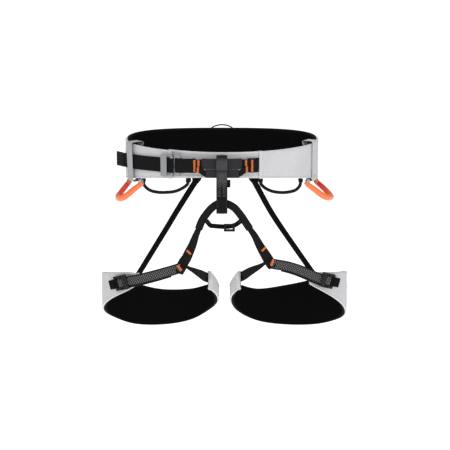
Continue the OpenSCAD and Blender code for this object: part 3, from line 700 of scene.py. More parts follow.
def swell(length, h, seed, bulge=0.9, rough=0.35):
    """How a padded face bulges between its sewn edges, and how unevenly."""
    across = 1 - abs(2 * h - 1) ** 2.6
    wander = noise.noise(Vector((length * 0.018, h * 1.6, seed)))
    finer = noise.noise(Vector((length * 0.06, h * 5, seed + 4)))
    return bulge * across - 0.25 + rough * wander * (0.4 + across) + 0.13 * finer


def edge_tape(name, pad, top, section):
    """A tape along one edge of the pad. section(i, length) gives its points as (out, up)."""
    rings = []
    turn = pad.winding(top)
    for i, (s, length) in enumerate(zip(pad.stations, pad.along)):
        full = pad.height(s)
        shape = section(i, length)
        rings.append([pad.at(s, 1 + up / full if top else -up / full, out)
                      for out, up in shape][::turn])
    return tube_mesh(name, rings, pad.along, round_outline(shape[::turn]), TAPE, sharp=60)


def binding(name, pad, top, height, seed, proud=0.45):
    """A folded tape over one edge of the pad: pale outside and black against the wearer."""
    count, half = 13, pad.depth / 2

    def section(_, length):
        tall = height + 0.22 * noise.noise(Vector((length * 0.05, seed, 0)))
        wave = 0.12 * math.sin(length / 3.4) + 0.2 * noise.noise(Vector((length * 0.09, seed, 3)))
        fold = []
        for k in range(count):
            a = math.pi * (k / (count - 1) - 0.5)       # over the fold, from one side to the other
            out = -half + (half + proud + 0.1 * wave) * math.sin(a)
            fold.append((out, max(0.0, math.cos(a)) ** 0.55 * 2.0 - 2.0 + 0.08 * wave))
        near, far = fold[-1][0], fold[0][0]
        return fold + [(near - 0.05 + 0.12 * wave, -tall), (near - 0.9, -tall),
                       (far + 0.9, -tall), (far + 0.05, -tall)]
    tape = edge_tape(name, pad, top, section)
    tape.data.materials.append(TAPE_BLACK)
    sides = count + 4
    wound = list(range(sides))[::pad.winding(top)]
    for face in tape.data.polygons[:len(tape.data.polygons) - 2]:
        k = face.index % sides
        ends = wound[k], wound[(k + 1) % sides]
        if all(e < count // 2 + 2 or e >= count + 2 for e in ends):
            face.material_index = 1
    return tape


def edge_stitches(name, pad, body, inset, out, radius=0.17, length=2.2, pitch=3.2, sink=0.3,
                  proud=0.2):
    """A row of stitches along each edge of the pad."""
    paths = []
    for top in (True, False):
        points, normals = [], []
        for at in np.arange(3.0, pad.along[-1] - 3.0, 1.2):
            s = pad.station_at(at)
            h = inset / pad.height(s)
            h = 1 - h if top else h
            points.append(pad.at(s, h, out))
            normals.append(pad.normal(s, h))
        paths += stitch_paths(points, normals, length, pitch, sink, proud)
    sew(name, paths, radius, GREY_STITCH, body, "binding")


# ---------------------------------------------------------------- the waist belt
def belt_face(length, h):
    return swell(length, h, 1.0, 0.8) + pucker(length, h, 5.0, 70)


def belt_back(length, h):
    across = 1 - abs(2 * h - 1) ** 3
    return LINING_T + 0.1 + 0.5 * across + 0.3 * noise.noise(Vector((length * 0.02, h * 2, 9)))


def end_tape(name, pad, at_start, width, proud=0.5):
    """A tape folded round the cut end of a pad, from its top edge to its bottom edge."""
    depth, total = pad.depth, pad.along[-1]
    end, inward, (tip, next_in) = ((0, 1, pad.stations[:2]) if at_start
                                   else (total, -1, pad.stations[:-3:-1]))
    turn = -1 if at_start == pad.mirrored else 1
    rings, rows = [], 19
    for i in range(rows):
        h = i / (rows - 1)
        section = []
        for k in range(11):                      # round the fold
            a = math.pi * (k / 10 - 0.5)
            out = -depth / 2 + (depth / 2 + proud) * math.sin(a)
            section.append((-1.1 * max(0, math.cos(a)) ** 0.6 + 0.9, out))
        section.append((width + 0.2 * math.sin(h * 40), 0.35))
        section.append((width, -0.8))
        section.insert(0, (width + 0.2 * math.sin(h * 40 + 1), -depth - 0.3))
        section.insert(0, (width, -depth + 0.8))
        ring = []
        for reach, out in section:
            length = end + inward * reach
            p = pad.at(pad.station_at(min(max(length, 0), total)), h, out)
            if reach < 0:                        # past the end, straight on
                p = p - reach * unit(pad.at(tip, h, out) - pad.at(next_in, h, out))
            ring.append(p)
        rings.append(ring[::turn])
    height = pad.height(tip)
    return tube_mesh(name, rings, [height * i / (rows - 1) for i in range(rows)],
                     round_outline(section[::turn]), TAPE, sharp=60)


def make_belt():
    pad = belt_pad()
    padded_layers(pad, "waist", ("belt_face", "belt_lining"), ("waist_shell", "waist_lining"),
                  2.2, 17, belt_face, belt_back)
    for top, which, seed in ((True, "top", 3.0), (False, "bottom", 8.0)):
        tape = binding("belt_" + which + "_tape", pad, top, 3.4, seed)
        place(tape, "waist", "binding", "waist_binding_" + which)
    edge_stitches("belt_tape_stitches", pad, "waist", 2.1, 0.55)
    # the tapes round the pad's two front ends
    paths = []
    for side, at_start, width, seam in (("right", True, 6.5, 5.4),
                                        ("left", False, 5.0, pad.along[-1] - 4.1)):
        place(end_tape("belt_end_tape_" + side, pad, at_start, width), "waist", "binding")
        s = pad.station_at(seam)
        hs = np.linspace(0.03, 0.97, 40)
        paths += stitch_paths([pad.at(s, h, 0.45) for h in hs], [pad.normal(s, h) for h in hs],
                              2.2, 3.2)
    sew("belt_end_stitches", paths, 0.17, GREY_STITCH, "waist", "binding")


def make_flap():
    start, end = front_t(-94), front_t(64)

    def at(t, h, out):
        y = belt_xy(t)[1]
        d = 8.8 + (3.6 - 8.8) * min(1, (t - start) / (end - start) * 1.15)
        low, high = belt_bottom(y) + 0.5, belt_top(y) - 0.5
        return belt_pt(t, -d + out, low + h * (high - low))
    pad = Pad(np.linspace(start, end, 91), at, 4.0)

    def face(length, h):
        return 0.35 * (1 - abs(2 * h - 1) ** 2) - 0.15 + 0.25 * noise.noise(
            Vector((length * 0.03, h * 2, 17))) + pucker(length, h, 4.0, 70, 8.0, 0.2)
    sheet = pad_sheet("flap_face", pad, 0.4, face, lambda length, h: face(length, h) - 3.5,
                      SHELL, 15)
    place(sheet, "waist", "flap", "front_flap")
    for top, which, seed in ((True, "top", 5), (False, "bottom", 9)):
        def section(i, _):
            lift = 0.15 * noise.noise(Vector((i * 0.15, seed, 0))) - 1.2
            turns = [math.pi * (k / 10 - 0.5) for k in range(11)]
            fold = [(-2 + 2.5 * math.sin(a), max(0.0, math.cos(a)) ** 0.6 * 1.6 + lift)
                    for a in turns]
            return [(-3.6, -4.2), (-4.45, -4.2)] + fold + [(0.45, -4.2), (-0.4, -4.2)]
        place(edge_tape("flap_" + which + "_tape", pad, top, section), "waist", "binding")
    edge_stitches("flap_tape_stitches", pad, "waist", 2.9, 0.4, sink=0.15, proud=0.28)


# ---------------------------------------------------------------- buckles and straps round them
# In a buckle's own frame x runs to the sewn eye, out is away from the wearer, z up its bar.
WAIST_BUCKLE = dict(strap_t=1.8, pin_r=2, off=5, grip_to=19, eye_end=15, plate=2.5)
LEG_BUCKLE = dict(strap_t=1.6, pin_r=1.6, off=4.4, grip_to=16.5, eye_end=13.5, plate=2.2)
EYE_BAR_W, GAP = 6, 0.3


def turn_r(k):
    return k["pin_r"] + GAP + k["strap_t"] / 2


def inner_run(k):
    return k["off"] - turn_r(k)


def outer_run(k):
    return inner_run(k) + k["strap_t"] + 0.4


def bar_turn(k, step=15):
    """The strap's way round the bar, as (distance from the bar, stand-off)."""
    r = turn_r(k)
    way = [(k["grip_to"], inner_run(k)), (9, inner_run(k)), (4, inner_run(k))]
    way += [(-r * math.cos(math.radians(a)), k["off"] + r * math.sin(math.radians(a)))
            for a in range(-90, 91, step)]
    return way + [(4, k["off"] + r * 0.5), (7, outer_run(k) + 0.1), (k["grip_to"], outer_run(k))]


def eye_turn(k, t, step=15):
    """The eye's way round the eye bar, as (distance towards the eye, stand-off)."""
    r = k["plate"] / 2 + GAP + t / 2
    middle = k["plate"] / 2
    way = [(k["eye_end"] + 2, middle + r)]
    way += [(k["eye_end"] - EYE_BAR_W + r * math.cos(math.radians(a)),
             middle + r * math.sin(math.radians(a))) for a in range(90, 271, step)]
    return way + [(k["eye_end"] + 2, middle - r)]


def turned_out(points, i):
    a, b = points[max(i - 1, 0)], points[min(i + 1, len(points) - 1)]
    d = unit(vec(b[0] - a[0], b[1] - a[1], 0))
    return d[1], -d[0]


WAIST_YAW = math.radians(-18)
WAIST_POS = belt_pt(front_t(-84), 0.6, 1)
STRAP_Z = 1.4
WAIST_X = vec(math.cos(WAIST_YAW), math.sin(WAIST_YAW), 0)
WAIST_N = vec(math.sin(WAIST_YAW), -math.cos(WAIST_YAW), 0)


def waist_local(x, out):
    return WAIST_POS + x * WAIST_X + out * WAIST_N


def strap_belt(x, out, z, facing):
    t = front_t(x)
    return row(belt_pt(t, out, z), facing * belt_out(t), 25, 1.8)


def waist_strap_rows():
    turn = bar_turn(WAIST_BUCKLE)
    rows = [strap_belt(x, 1.3 + (0.25 if x > -148 else 0), STRAP_Z, 1)
            for x in range(-150, -109, 5)]
    for i, (x, out) in enumerate(turn):
        n = turned_out(turn, i)
        rows.append(row(waist_local(-x, out), -n[0] * WAIST_X + n[1] * WAIST_N, 25, 1.8))
    rows += [strap_belt(x, 3.6, STRAP_Z, -1) for x in range(-110, -151, -5)]
    return rows


def waist_tail_rows():
    """The strap's tail past the keeper: it bends with the belt, then stands free."""
    rows = [strap_belt(x, 3.6, STRAP_Z, -1) for x in (-140, -150)]
    for x, y in ((-160, -32.5), (-170, -17.5), (-180, -3)):
        rows.append(row(vec(x - 4.6, y - 2, STRAP_Z - 0.6), (0.83, 0.56, 0), 25, 1.8))
    return smooth(rows, 6)


def make_waist_strap():
    rows = [*waist_strap_rows()[:-3], *waist_tail_rows()]
    band = strap("waist_strap", rows, STRAP, ripple=0.25)
    place(band, "waist", "strap", "waist_strap")
    # the folded, stitched stop at the tail's end
    tail = waist_tail_rows()
    stop = [[*(r[:3] - 1.35 * unit(r[3:6])), *r[3:6], 25.2, 1.0] for r in tail[-9:]]
    fold = strap("waist_strap_stop", stop, STRAP)
    place(fold, "waist", "strap")
    paths = []
    for shift in (-9.5, -3.2, 3.2, 9.5):
        points = [r[:3] - 2.0 * unit(r[3:6]) + vec(0, 0, shift) for r in tail[-9:]]
        paths += stitch_paths(points, [-r[3:6] for r in tail[-9:]], 2.0, 3.0)
    sew("waist_strap_stop_stitches", paths, 0.2, BLACK_STITCH, "waist", "strap")
    # the rim of the slot in the pad that the strap comes out of
    rim = []
    for a in np.radians(range(0, 181, 20)):
        rim.append(belt_pt(front_t(-150.5) + 0.4 * math.sin(a), 0.7 + 0.9 * abs(math.sin(a)),
                           STRAP_Z + 14.2 * math.cos(a)))
    sew("strap_slot_rim", [rim], 0.5, BLACK_STITCH, "waist", "strap", sides=8)


def make_keeper(side, t, out, material, width, lean):
    """An elastic band sewn round the belt; it leans and stands off inside the top edge."""
    name = "strap_keeper_" + side
    y = belt_xy(t)[1]
    r, band, bow = 3.0, 1.0, 9.0
    top, low = belt_top(y) + 3.6 - r, belt_bottom(y) - 3.6 + r
    deep, far = -BELT_T - 1.4 + r, out - r
    mid = r + band / 2
    along, outward = belt_along(t), belt_out(t)
    way = []                # (out, z, and the normal's share of each)
    for cx, cz, start in ((far, top, 0), (deep, top, 90), (deep, low, 180), (far, low, 270)):
        for a in np.radians(range(start, start + 91, 15)):
            c, s = math.cos(a), math.sin(a)
            way.append((cx + mid * c, cz + mid * s, c, s))
    rows = []
    for here, there in zip(way, way[1:] + way[:1]):
        steps = int(math.hypot(there[0] - here[0], there[1] - here[1]) / 3)
        for k in range(max(1, steps)):
            o, z, no, nz = (a + (b - a) * k / max(1, steps) for a, b in zip(here, there))
            slack = 0.25 * noise.noise(Vector((z * 0.08, o * 0.1, t)))
            stand = bow * math.exp(-((z - top) / 9.0) ** 2) if o < deep + 0.5 else 0.0
            rows.append(row(belt_pt(t, o - stand + slack * no, z) - lean * z * along,
                            no * outward + nz * vec(0, 0, 1), width + 0.4 * math.sin(z / 5), band))
    place(strap(name, rows, material, closed=True), "waist", "elastic", name)
    # the seam that closes the band, on its face near the bottom
    paths = []
    for z in (low + 3.5, low + 6.0):
        points = [belt_pt(t, far + r + band, z) + along * (at - lean * z)
                  for at in np.linspace(1.2 - width / 2, width / 2 - 1.2, 16)]
        paths += stitch_paths(points, [outward] * len(points), 1.6, 2.2)
    sew(name + "_stitches", paths, 0.16, GREY_STITCH, "waist", "elastic")


# ---------------------------------------------------------------- tie-in points
TIE_IN = [(-60, -94.2, 1.2, 25), (-50, -96.4, 1.5, 25), (-42, -98.5, 3.2, 24),
          (-37.5, -99.6, 5.6, 15.5), (-34, -100.4, 6, 14.6), (-25, -102.2, 6, 14.6),
          (-12, -103.6, 6, 14.6), (0, -104, 6, 14.6), (12, -103.6, 6, 14.6), (25, -102, 6, 14.6),
          (34, -100.1, 6, 14.6), (37.5, -99.2, 5.6, 15.5), (42, -97.7, 3.4, 24),
          (50, -94.8, 1.9, 25), (58, -91.4, 1.8, 25), (63.2, -88.6, 1.7, 25)]
LOWER = [(-44, -102.5, -3), (-36, -104.8, -6), (-28, -104.6, -11.6), (-20, -103.9, -12),
         (-8, -103.9, -12), (8, -103.9, -12), (21, -103.9, -12), (29, -104.6, -11.8),
         (37, -104.8, -6.4), (44, -102.5, -3)]


def front_row(x, y, z, width, thickness):
    return row(vec(x, y, z), (x / 300, -1, 0), width, thickness)


def make_tie_in():
    eye = eye_turn(WAIST_BUCKLE, 2.4)[::-1]
    rows = []
    for i, (x, out) in enumerate(eye):
        n = turned_out(eye, i)
        rows.append(row(waist_local(x, out), -n[0] * WAIST_X - n[1] * WAIST_N, 25, 2.4))
    plan = [front_row(*q, 2.4) for q in TIE_IN]
    band = strap("tie_in_webbing", [*rows, *smooth(plan, 5)], WEBBING)
    place(band, "waist", "webbing", "tie_in_webbing")
    tube = sleeve("tie_in_sleeve", [front_row(x, y, 5.8, 18, 5.5) for x, y, _, _ in TIE_IN
                                    if abs(x) < 36], SLEEVE, 0.9, 5)
    place(tube, "waist", "sleeve", "tie_in_sleeve")
    lower = strap("tie_in_lower_webbing", [front_row(*q, 10, 2.4) for q in LOWER], WEBBING,
                  steps=5)
    place(lower, "waist", "webbing", "tie_in_lower_webbing")
    tube = sleeve("tie_in_lower_sleeve", [front_row(x, y, z + 0.7, 14.6, 5.6) for x, y, z in LOWER
                                          if abs(x) < 30], SLEEVE, 0.9, 5)
    place(tube, "waist", "sleeve", "tie_in_lower_sleeve")
    paths = []
    for x, y, turn, lower in ((-47.1, -98.9, -13, 0), (-40.2, -100.8, -14, 4.0),
                              (41.5, -99.8, 18.5, 4.6), (52.1, -95.8, 23, 0)):
        a = math.radians(turn)
        across = vec(math.cos(a), math.sin(a), 0)
        normal = vec(math.sin(a), -math.cos(a), 0)
        path = tack_paths(vec(x, y, 1.6) + 0.15 * normal, across, vec(0, 0, 1), normal, 3.8, 20)
        # where the lower tie-in webbing lies on top, the tack goes over it
        paths.append([q + lower * min(1.0, max(0.0, (2.5 - q[2]) / 2.5)) * normal for q in path])
    sew("waist_bar_tack_threads", paths, 0.3, ORANGE_STITCH, "waist", "tack", "waist_bar_tacks",
        sides=6)


# ---------------------------------------------------------------- belay loop
def belay_outline(width, thickness):
    """Two plies: the seam between them shows along each edge."""
    half, h, e = width / 2, thickness / 2, 0.55
    face = [(-half + e + (2 * half - 2 * e) * i / 8, h - 0.12 * math.cos(i * math.pi / 4))
            for i in range(9)]
    return symmetric(face + [(half - 0.1, h - 0.5), (half, h * 0.5), (half - 0.45, 0),
                             (half, -h * 0.5), (half - 0.1, -h + 0.5)])


def make_belay_loop():
    top, low, y, t = 11.0, -71.0, -104.0, 3.5
    r = 6.5 + t / 2
    rows = []
    for z, other, start, facing in ((top, low, 0, -1), (low, top, 180, 1)):
        for a in np.radians(range(start, start + 181, 12)):
            n = vec(0, math.cos(a), math.sin(a))
            rows.append(row(vec(0, y, z) + r * n, n, 19, t))
        rows += [row(vec(0, y + facing * r, z + (other - z) * k / 24), (0, facing, 0), 19, t)
                 for k in range(1, 24)]
    loop = strap("belay_loop", rows, BELAY, belay_outline, flat=True, closed=True)
    place(loop, "belay_loop", "belay", "belay_loop")
    front, forward, up = y - r - t / 2, vec(0, -1, 0), vec(0, 0, 1)
    lap_rows = [row(vec(0, front - 0.85 - 0.25 * math.sin(f * math.pi), -50 + 44 * f), forward,
                    18.2, 1.6) for f in np.linspace(0, 1, 23)]
    place(strap("belay_loop_lap", lap_rows, BELAY), "belay_loop", "belay", "belay_loop_lap")
    # two ladders of zigzag
    paths = [tack_paths(vec(x, front - 1.75, -28), vec(1, 0, 0), up, forward, 6.2, 41, 2.1)
             for x in (-4.6, 4.2)]
    sew("belay_lap_stitches", paths, 0.36, DARK_STITCH, "belay_loop", "belay")
    # a folded tag sewn into the loop's edge
    fold = [(8.8, 0.45), (12.5, 0.5), (14.6, 0.25), (15.0, 0), (14.6, -0.25), (12.5, -0.5),
            (8.8, -0.45)]
    tag = [row(vec(x, front + 1.6 - lift, -27), (0.02 * i, -1 if i < 3 else 1, 0), 13, 0.5)
           for i, (x, lift) in enumerate(fold) if i != 3]
    place(strap("belay_tag", tag, ELASTIC_BLACK), "belay_loop", "belay")
    arc = np.array(rows[:16])
    paths = []
    for x in (-7.9, 7.9):
        over, down, under = (arc[:, :3] + 1.75 * arc[:, 3:6] + vec(x, 0, 0),
                             [vec(x, y - r - 1.75, z) for z in np.linspace(9, -4, 12)],
                             [vec(x, y - r - 1.75, z) for z in np.linspace(-51, low, 12)])
        paths += stitch_paths([*over, *down], [*arc[:, 3:6]] + [forward] * 12, 2.0, 2.9, proud=0.2)
        paths += stitch_paths(under, [forward] * 12, 2.0, 2.9, proud=0.2)
    sew("belay_edge_stitches", paths, 0.2, DARK_STITCH, "belay_loop", "belay")


# ---------------------------------------------------------------- yoke
YOKE = [(-70.5, -82.2, -179, 18.5), (-66.8, -82.5, -171.3, 18.5), (-61.5, -84.5, -162.5, 17.5),
        (-57, -87, -152, 16.5), (-51, -90, -138.5, 14.5), (-46, -94, -123.5, 12),
        (-40, -97, -108.5, 10), (-34.5, -100, -94, 10), (-27.5, -102, -83, 10),
        (-18.5, -103.6, -72, 10), (-9, -104, -64.6, 10), (0, -104, -62.8, 10),
        (11, -104, -64.4, 10), (22.5, -103.6, -71.6, 10), (32.5, -102, -84, 10),
        (40, -100, -95.5, 10), (48, -97, -108.5, 10), (57.5, -94, -123, 12),
        (65, -90, -138.5, 14.5), (71.5, -87, -150, 16.5), (78, -84, -161.3, 18),
        (82.5, -83.2, -169, 18)]
YOKE_NORMAL = vec(0, -1, 0.2)


def make_yoke():
    high = [row(vec(*q[:3]), YOKE_NORMAL, q[3], 3.4) for q in YOKE if q[2] > -140]
    middle = strap("yoke_webbing", high, WEBBING, steps=5)
    place(middle, "waist", "webbing", "yoke_webbing")
    tube = sleeve("yoke_sleeve", [row(vec(*q[:3]), YOKE_NORMAL, 13.4, 7.8) for q in YOKE
                                  if q[2] > -110], YOKE_SLEEVE, 1.2, 5)
    place(tube, "waist", "sleeve", "yoke_sleeve")
    # Each arm goes on past the joint line and is sewn to the leg's straps.
    for side, name, plan, foot in ((-1, "left", YOKE[:6], [(-73, -82.2, -185.5, 17),
                                                           (-75, -82.2, -191.5, 14)]),
                                   (1, "right", YOKE[:-7:-1], [(86, -83.4, -175.5, 17),
                                                               (88.5, -83.4, -181, 14)])):
        rows = [row(vec(*q[:3]), YOKE_NORMAL, q[3], 3.0) for q in foot[::-1] + plan]
        arm = strap("yoke_arm_" + name, rows, WEBBING, steps=6)
        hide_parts("yoke_webbing", "leg_junction_" + name)
        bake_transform(arm)
    paths = []
    for x, y, z, lean, turn in ((-57.6, -89.2, -152, 45, -9.2), (73, -90.4, -146, -45, 11.6)):
        a, b = math.radians(lean), math.radians(turn)
        normal = unit(vec(-math.sin(-b), -math.cos(b), -0.15))
        flat = unit(np.cross(vec(0, 0, 1), normal))
        steep = np.cross(normal, flat)
        across = math.cos(a) * flat - math.sin(a) * steep
        along = math.sin(a) * flat + math.cos(a) * steep
        paths.append(tack_paths(vec(x, y, z), along, across, normal, 4, 9))
    sew("yoke_bar_tack_threads", paths, 0.3, ORANGE_STITCH, "waist", "tack", "yoke_bar_tacks",
        sides=6)


def make_cross_strap():
    plan = [(-27, -107.6, -92), (-20, -107.6, -100.5), (-14, -107.4, -101.8), (8, -107.4, -103),
            (23, -107.6, -100), (33.5, -107.8, -92)]
    band = strap("cross_strap", [row(vec(*q), YOKE_NORMAL, 8, 1.6) for q in plan],
                 ELASTIC_BLACK, steps=6)
    place(band, "waist", "elastic_black", "cross_strap")
    paths = []
    for x, z, lean in ((-24.5, -94.6, 52), (31, -93.8, -45)):
        a = math.radians(lean)
        paths.append(tack_paths(vec(x, -108.3, z), vec(math.cos(a), 0, math.sin(a)),
                                vec(-math.sin(a), 0, math.cos(a)), unit(YOKE_NORMAL), 1.8, 6.5))
    sew("cross_strap_tacks", paths, 0.2, BLACK_STITCH, "waist", "elastic_black")


# ---------------------------------------------------------------- gear loops and haul loop
REAR = {"left": [(-142, 55, -51.5), (-140, 58, -60), (-131, 64, -69), (-117, 71, -74),
                 (-101, 78, -75.5), (-85, 84, -74.5), (-72, 89, -69.5), (-64, 91.5, -63.5),
                 (-61.5, 92, -57.8)],
        "right": [(142, 55, -51.5), (140.5, 58, -60), (133, 64, -69), (119, 71, -74),
                  (106, 77, -75.5), (92, 83, -74.5), (80, 88, -70), (72.5, 91, -64),
                  (70, 91.5, -57.8)]}
FRONT = {"left": [(-141.7, -54, -37.5), (-148, -51.5, -43), (-158, -46.5, -51.5),
                  (-168, -39.5, -61), (-177, -28, -67.5), (-183, -12, -70), (-185, 0, -70),
                  (-183.5, 9, -67.5), (-177.5, 15.5, -60), (-170.5, 19, -51.5),
                  (-166.5, 20.5, -46.5)],
         "right": [(149.5, -49.5, -38.5), (156, -46.5, -44), (166, -43, -52), (175, -37.5, -59.5),
                   (184, -28, -65.5), (191, -12, -69), (193.5, 0, -69.5), (191.5, 9, -67),
                   (184.5, 15.5, -60), (175, 19.5, -51.5), (169, 21.5, -46.5)]}


def hanging(plan, sizes, steps):
    chord = unit(vec(*plan[-1]) - vec(*plan[0]))
    side = unit(np.cross(chord, vec(0, 0, 1)))
    return smooth([[*p, *side, d, d] for p, d in zip(plan, sizes)], steps)


def tab(p, drop, material, wide=9.0, deep=5.0):
    """A folded webbing tab from the belt's bottom edge down round the end of a gear loop."""
    top = belt_bottom(p[1] + 5) + 4.0
    low = p[2] + drop
    turn = math.atan2(p[0] / BELT_A, -p[1] / BELT_B)
    out = vec(math.sin(turn), -math.cos(turn), 0)
    middle = vec(p[0], p[1], 0)
    r = deep / 2 - 0.8
    count = max(2, int((top - 6.5 - low - r) / 2))
    way = [(r, top - 4.7 - (top - 4.7 - low - r) * k / count) for k in range(count + 1)]
    way += [(r * math.cos(math.radians(a)), low + r - r * math.sin(math.radians(a)))
            for a in range(20, 161, 20)]
    way += [(-r, low + r + (top - 4.7 - low - r) * k / count) for k in range(count + 1)]
    rows = []
    for i, (o, z) in enumerate(way):
        a, b = way[max(i - 1, 0)], way[min(i + 1, len(way) - 1)]
        d = unit(vec(b[0] - a[0], b[1] - a[1], 0))
        n = -d[1] * out + d[0] * vec(0, 0, 1)
        rows.append(row(middle + o * out + vec(0, 0, z), n, wide, 1.5))
    return strap("tab", rows, material)


def bow_outline(width, thickness):
    """A moulded bow: round outside, with a shallow flat along its inside."""
    points = []
    for i in range(24):
        a = 2 * math.pi * i / 24
        squash = 1 - 0.10 * max(0.0, -math.cos(a)) ** 3
        points.append((width / 2 * math.sin(a), thickness / 2 * math.cos(a) * squash))
    return points


def make_gear_loops():
    tabs = []
    for side in ("left", "right"):
        plan = REAR[side]
        rows = hanging(plan, [6.0] * len(plan), 8)
        loop = strap("gear_cord_" + side, rows, CORD, oval_outline, ripple=0.2)
        place(loop, "rear_gear_" + side, "cord", "gear_loop_rear_" + side)
        plan = FRONT[side]
        s = -1 if side == "left" else 1
        near, far = plan[0], plan[-1]
        ends = ([(near[0] - s * 3, near[1] - 1.5, near[2] + 3)],
                [(far[0] - s * 2.6, far[1] + 0.8, far[2] + 5)])
        sizes = [7.6, 8.6, 9.6, 10.4, 10.8, 11, 11, 11, 10.8, 10.4, 9.8, 9.2, 8.4]
        rows = hanging(ends[0] + plan + ends[1], sizes, 10)
        loop = strap("gear_bow_" + side, rows, GEAR_PLASTIC, bow_outline)
        place(loop, "front_gear_" + side, "gear_loop", "gear_loop_front_" + side)
        # moulded collars where the bow narrows
        collars = []
        for at in (9, 12, len(rows) - 13, len(rows) - 10):
            ring = np.array(rows[at - 1:at + 2])
            ring[:, 6:8] += np.array([[0.0], [1.1], [0.0]])
            collars.append(strap("collar", ring, GEAR_PLASTIC, bow_outline))
        collar = join("gear_bow_collars_" + side, collars)
        place(collar, "front_gear_" + side, "gear_loop")
        tabs += [tab(p, -0.5, WEBBING) for p in (REAR[side][0], REAR[side][-1])]
        tabs += [tab(p, 1.2, ELASTIC) for p in (plan[0], plan[-1])]
    place(join("gear_tabs", tabs), "waist", "elastic", "gear_loop_tabs")


def make_haul_loop():
    plan = [(-22, 101, 30), (-21.2, 101, 36.5), (-16.5, 101, 41.5), (-9, 101, 44.5),
            (0, 101, 45.6), (9, 101, 44.5), (16.5, 101, 41.5), (21.2, 101, 36.5), (22, 101, 30)]
    band = strap("haul_loop", [row(vec(*q), (q[0] / 10, 0, q[2] - 34), 6, 1.8) for q in plan],
                 WEBBING, steps=7)
    place(band, "haul", "webbing", "haul_loop")


# ---------------------------------------------------------------- risers
RISER = {"left": [(-46, 98.4, -54.5), (-81.8, 90.5, -110.7), (-104.5, 85, -148),
                  (-161, 70.6, -239), (-168.6, 66.6, -252)],
         "right": [(57, 98, -54.5), (86.7, 91.5, -108.8), (112.4, 85, -148), (159.7, 73.5, -214.7),
                   (176, 67, -237), (183.1, 63.3, -250)]}


def make_risers():
    tabs = []
    for side in ("left", "right"):
        plan = RISER[side]
        rows = smooth([row(vec(*q), (q[0] / 300, 1, 0), 11, 1.7) for q in plan], 20)
        band = strap("riser_" + side, rows, ELASTIC_BLACK)
        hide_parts("riser_" + side)
        # the stitches at the sewn end move with the leg loop
        top, edge, low = vec(*plan[0]), vec(*plan[-2]), vec(*plan[-1])
        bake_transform(band)
        down = unit(low - edge)
        out = unit(vec(low[0] / 300, 1, 0))
        out = unit(out - np.dot(out, down) * down)
        over = np.cross(down, out)
        tacks = [tack_paths(low - k * down + 0.75 * out, over, down, out, 9, 2.6, 0.5)
                 for k in (3, 11)]
        sew("riser_stitches_" + side, tacks, 0.24, BLACK_STITCH, "leg_" + side, "tack")
        p = plan[0]
        turn = -p[0] / 7
        a = math.radians(turn)
        across = vec(math.cos(a), math.sin(a), 0)
        normal = vec(-math.sin(a), math.cos(a), 0)
        tab_rows = [row(vec(p[0] + shift, p[1], p[2] + 0.4 + z) + 0.1 * normal, normal, wide, 1.9)
                    for z, wide, shift in (
                        (-7, 11.5, p[0] * 0.09), (-4, 13, p[0] * 0.05), (0, 17, p[0] * 0.02),
                        (4, 19, 0), (9, 19, 0), (14, 19, 0))]
        tabs.append(strap("tab", tab_rows, WEBBING))
        points = [vec(p[0], p[1], p[2] + z) + 1.1 * normal + s * across
                  for s, z in ((-7, 2), (-7, 12), (7, 2), (7, 12), (-7, 2))]
        tabs.append(threads("tab_stitches", [points], 0.25, BLACK_STITCH))
    place(join("riser_tabs", tabs), "waist", "webbing", "riser_tabs")


# ---------------------------------------------------------------- legs
LEG_YAW, LEG_PITCH, LEG_OFF = math.radians(-29.8), math.radians(17), 2.8
LEG_BUCKLE_POS = {-1: vec(-175.5, -59.6, -212.2), 1: vec(184.1, -59.6, -208.2)}
LEG_STRAP = {-1: [(-80.3, -82, -184), (-94.5, -83, -188), (-110, -83.4, -192.4),
                  (-126, -82.4, -197), (-140, -80, -201), (-152, -77.4, -204.6)],
             1: [(96.3, -82, -175.5), (108, -83, -177.2), (121, -83.4, -180.4),
                 (134, -83, -184.8), (147, -81, -190.4), (159, -78.2, -196.6)]}
INNER = {-1: [(-58.6, -82.5, -181, 6), (-49, -75, -187.5, 9.5), (-38.5, -59, -197, 14),
              (-31.7, -42.6, -205, 16.5), (-26.5, -30.6, -210, 17), (-21.8, -20.7, -213, 17)],
         1: [(73.1, -84, -173.5, 6), (64, -76.5, -181, 9.5), (50.5, -62, -191.5, 14),
             (41, -43.5, -202, 16.5), (35.4, -30.4, -208, 17), (30.7, -20.5, -212, 17)]}


def leg_n(s):
    return vec(s * math.sin(-LEG_YAW), -math.cos(LEG_YAW), 0)


def leg_dir(s):
    return vec(-s * math.cos(LEG_PITCH) * math.cos(LEG_YAW),
               math.cos(LEG_PITCH) * math.sin(LEG_YAW), math.sin(LEG_PITCH))


def leg_local(s, x, out):
    return LEG_BUCKLE_POS[s] + x * leg_dir(s) + (out + LEG_OFF) * leg_n(s)


def leg_strap_rows(s):
    start = [(-72.5, -84.9, -180.5)] if s < 0 else [(86.5, -86.2, -172.8)]
    out_run = [row(vec(*p), (s * max(0, abs(p[0] - LEG_MID) - 96) / 100, -1, 0), 18.6, 1.6)
               for p in start + LEG_STRAP[s]]
    out_run = [*smooth(out_run, 4)]
    turn = bar_turn(LEG_BUCKLE)
    back = []
    for i in range(len(turn) - 1, -1, -1):
        x, out = turn[i]
        m = turned_out(turn, i)
        drop = 2.5 if i == 0 else 0
        back.append(row(leg_local(s, x, out) - vec(0, 0, drop),
                        -m[0] * leg_dir(s) - m[1] * leg_n(s), 18.6, 1.6))
    behind = [row(r[:3] - 2.4 * r[3:6] - vec(0, 0, 2.5), -r[3:6], *r[6:8])
              for r in out_run[:6:-1]]
    return out_run, back, behind


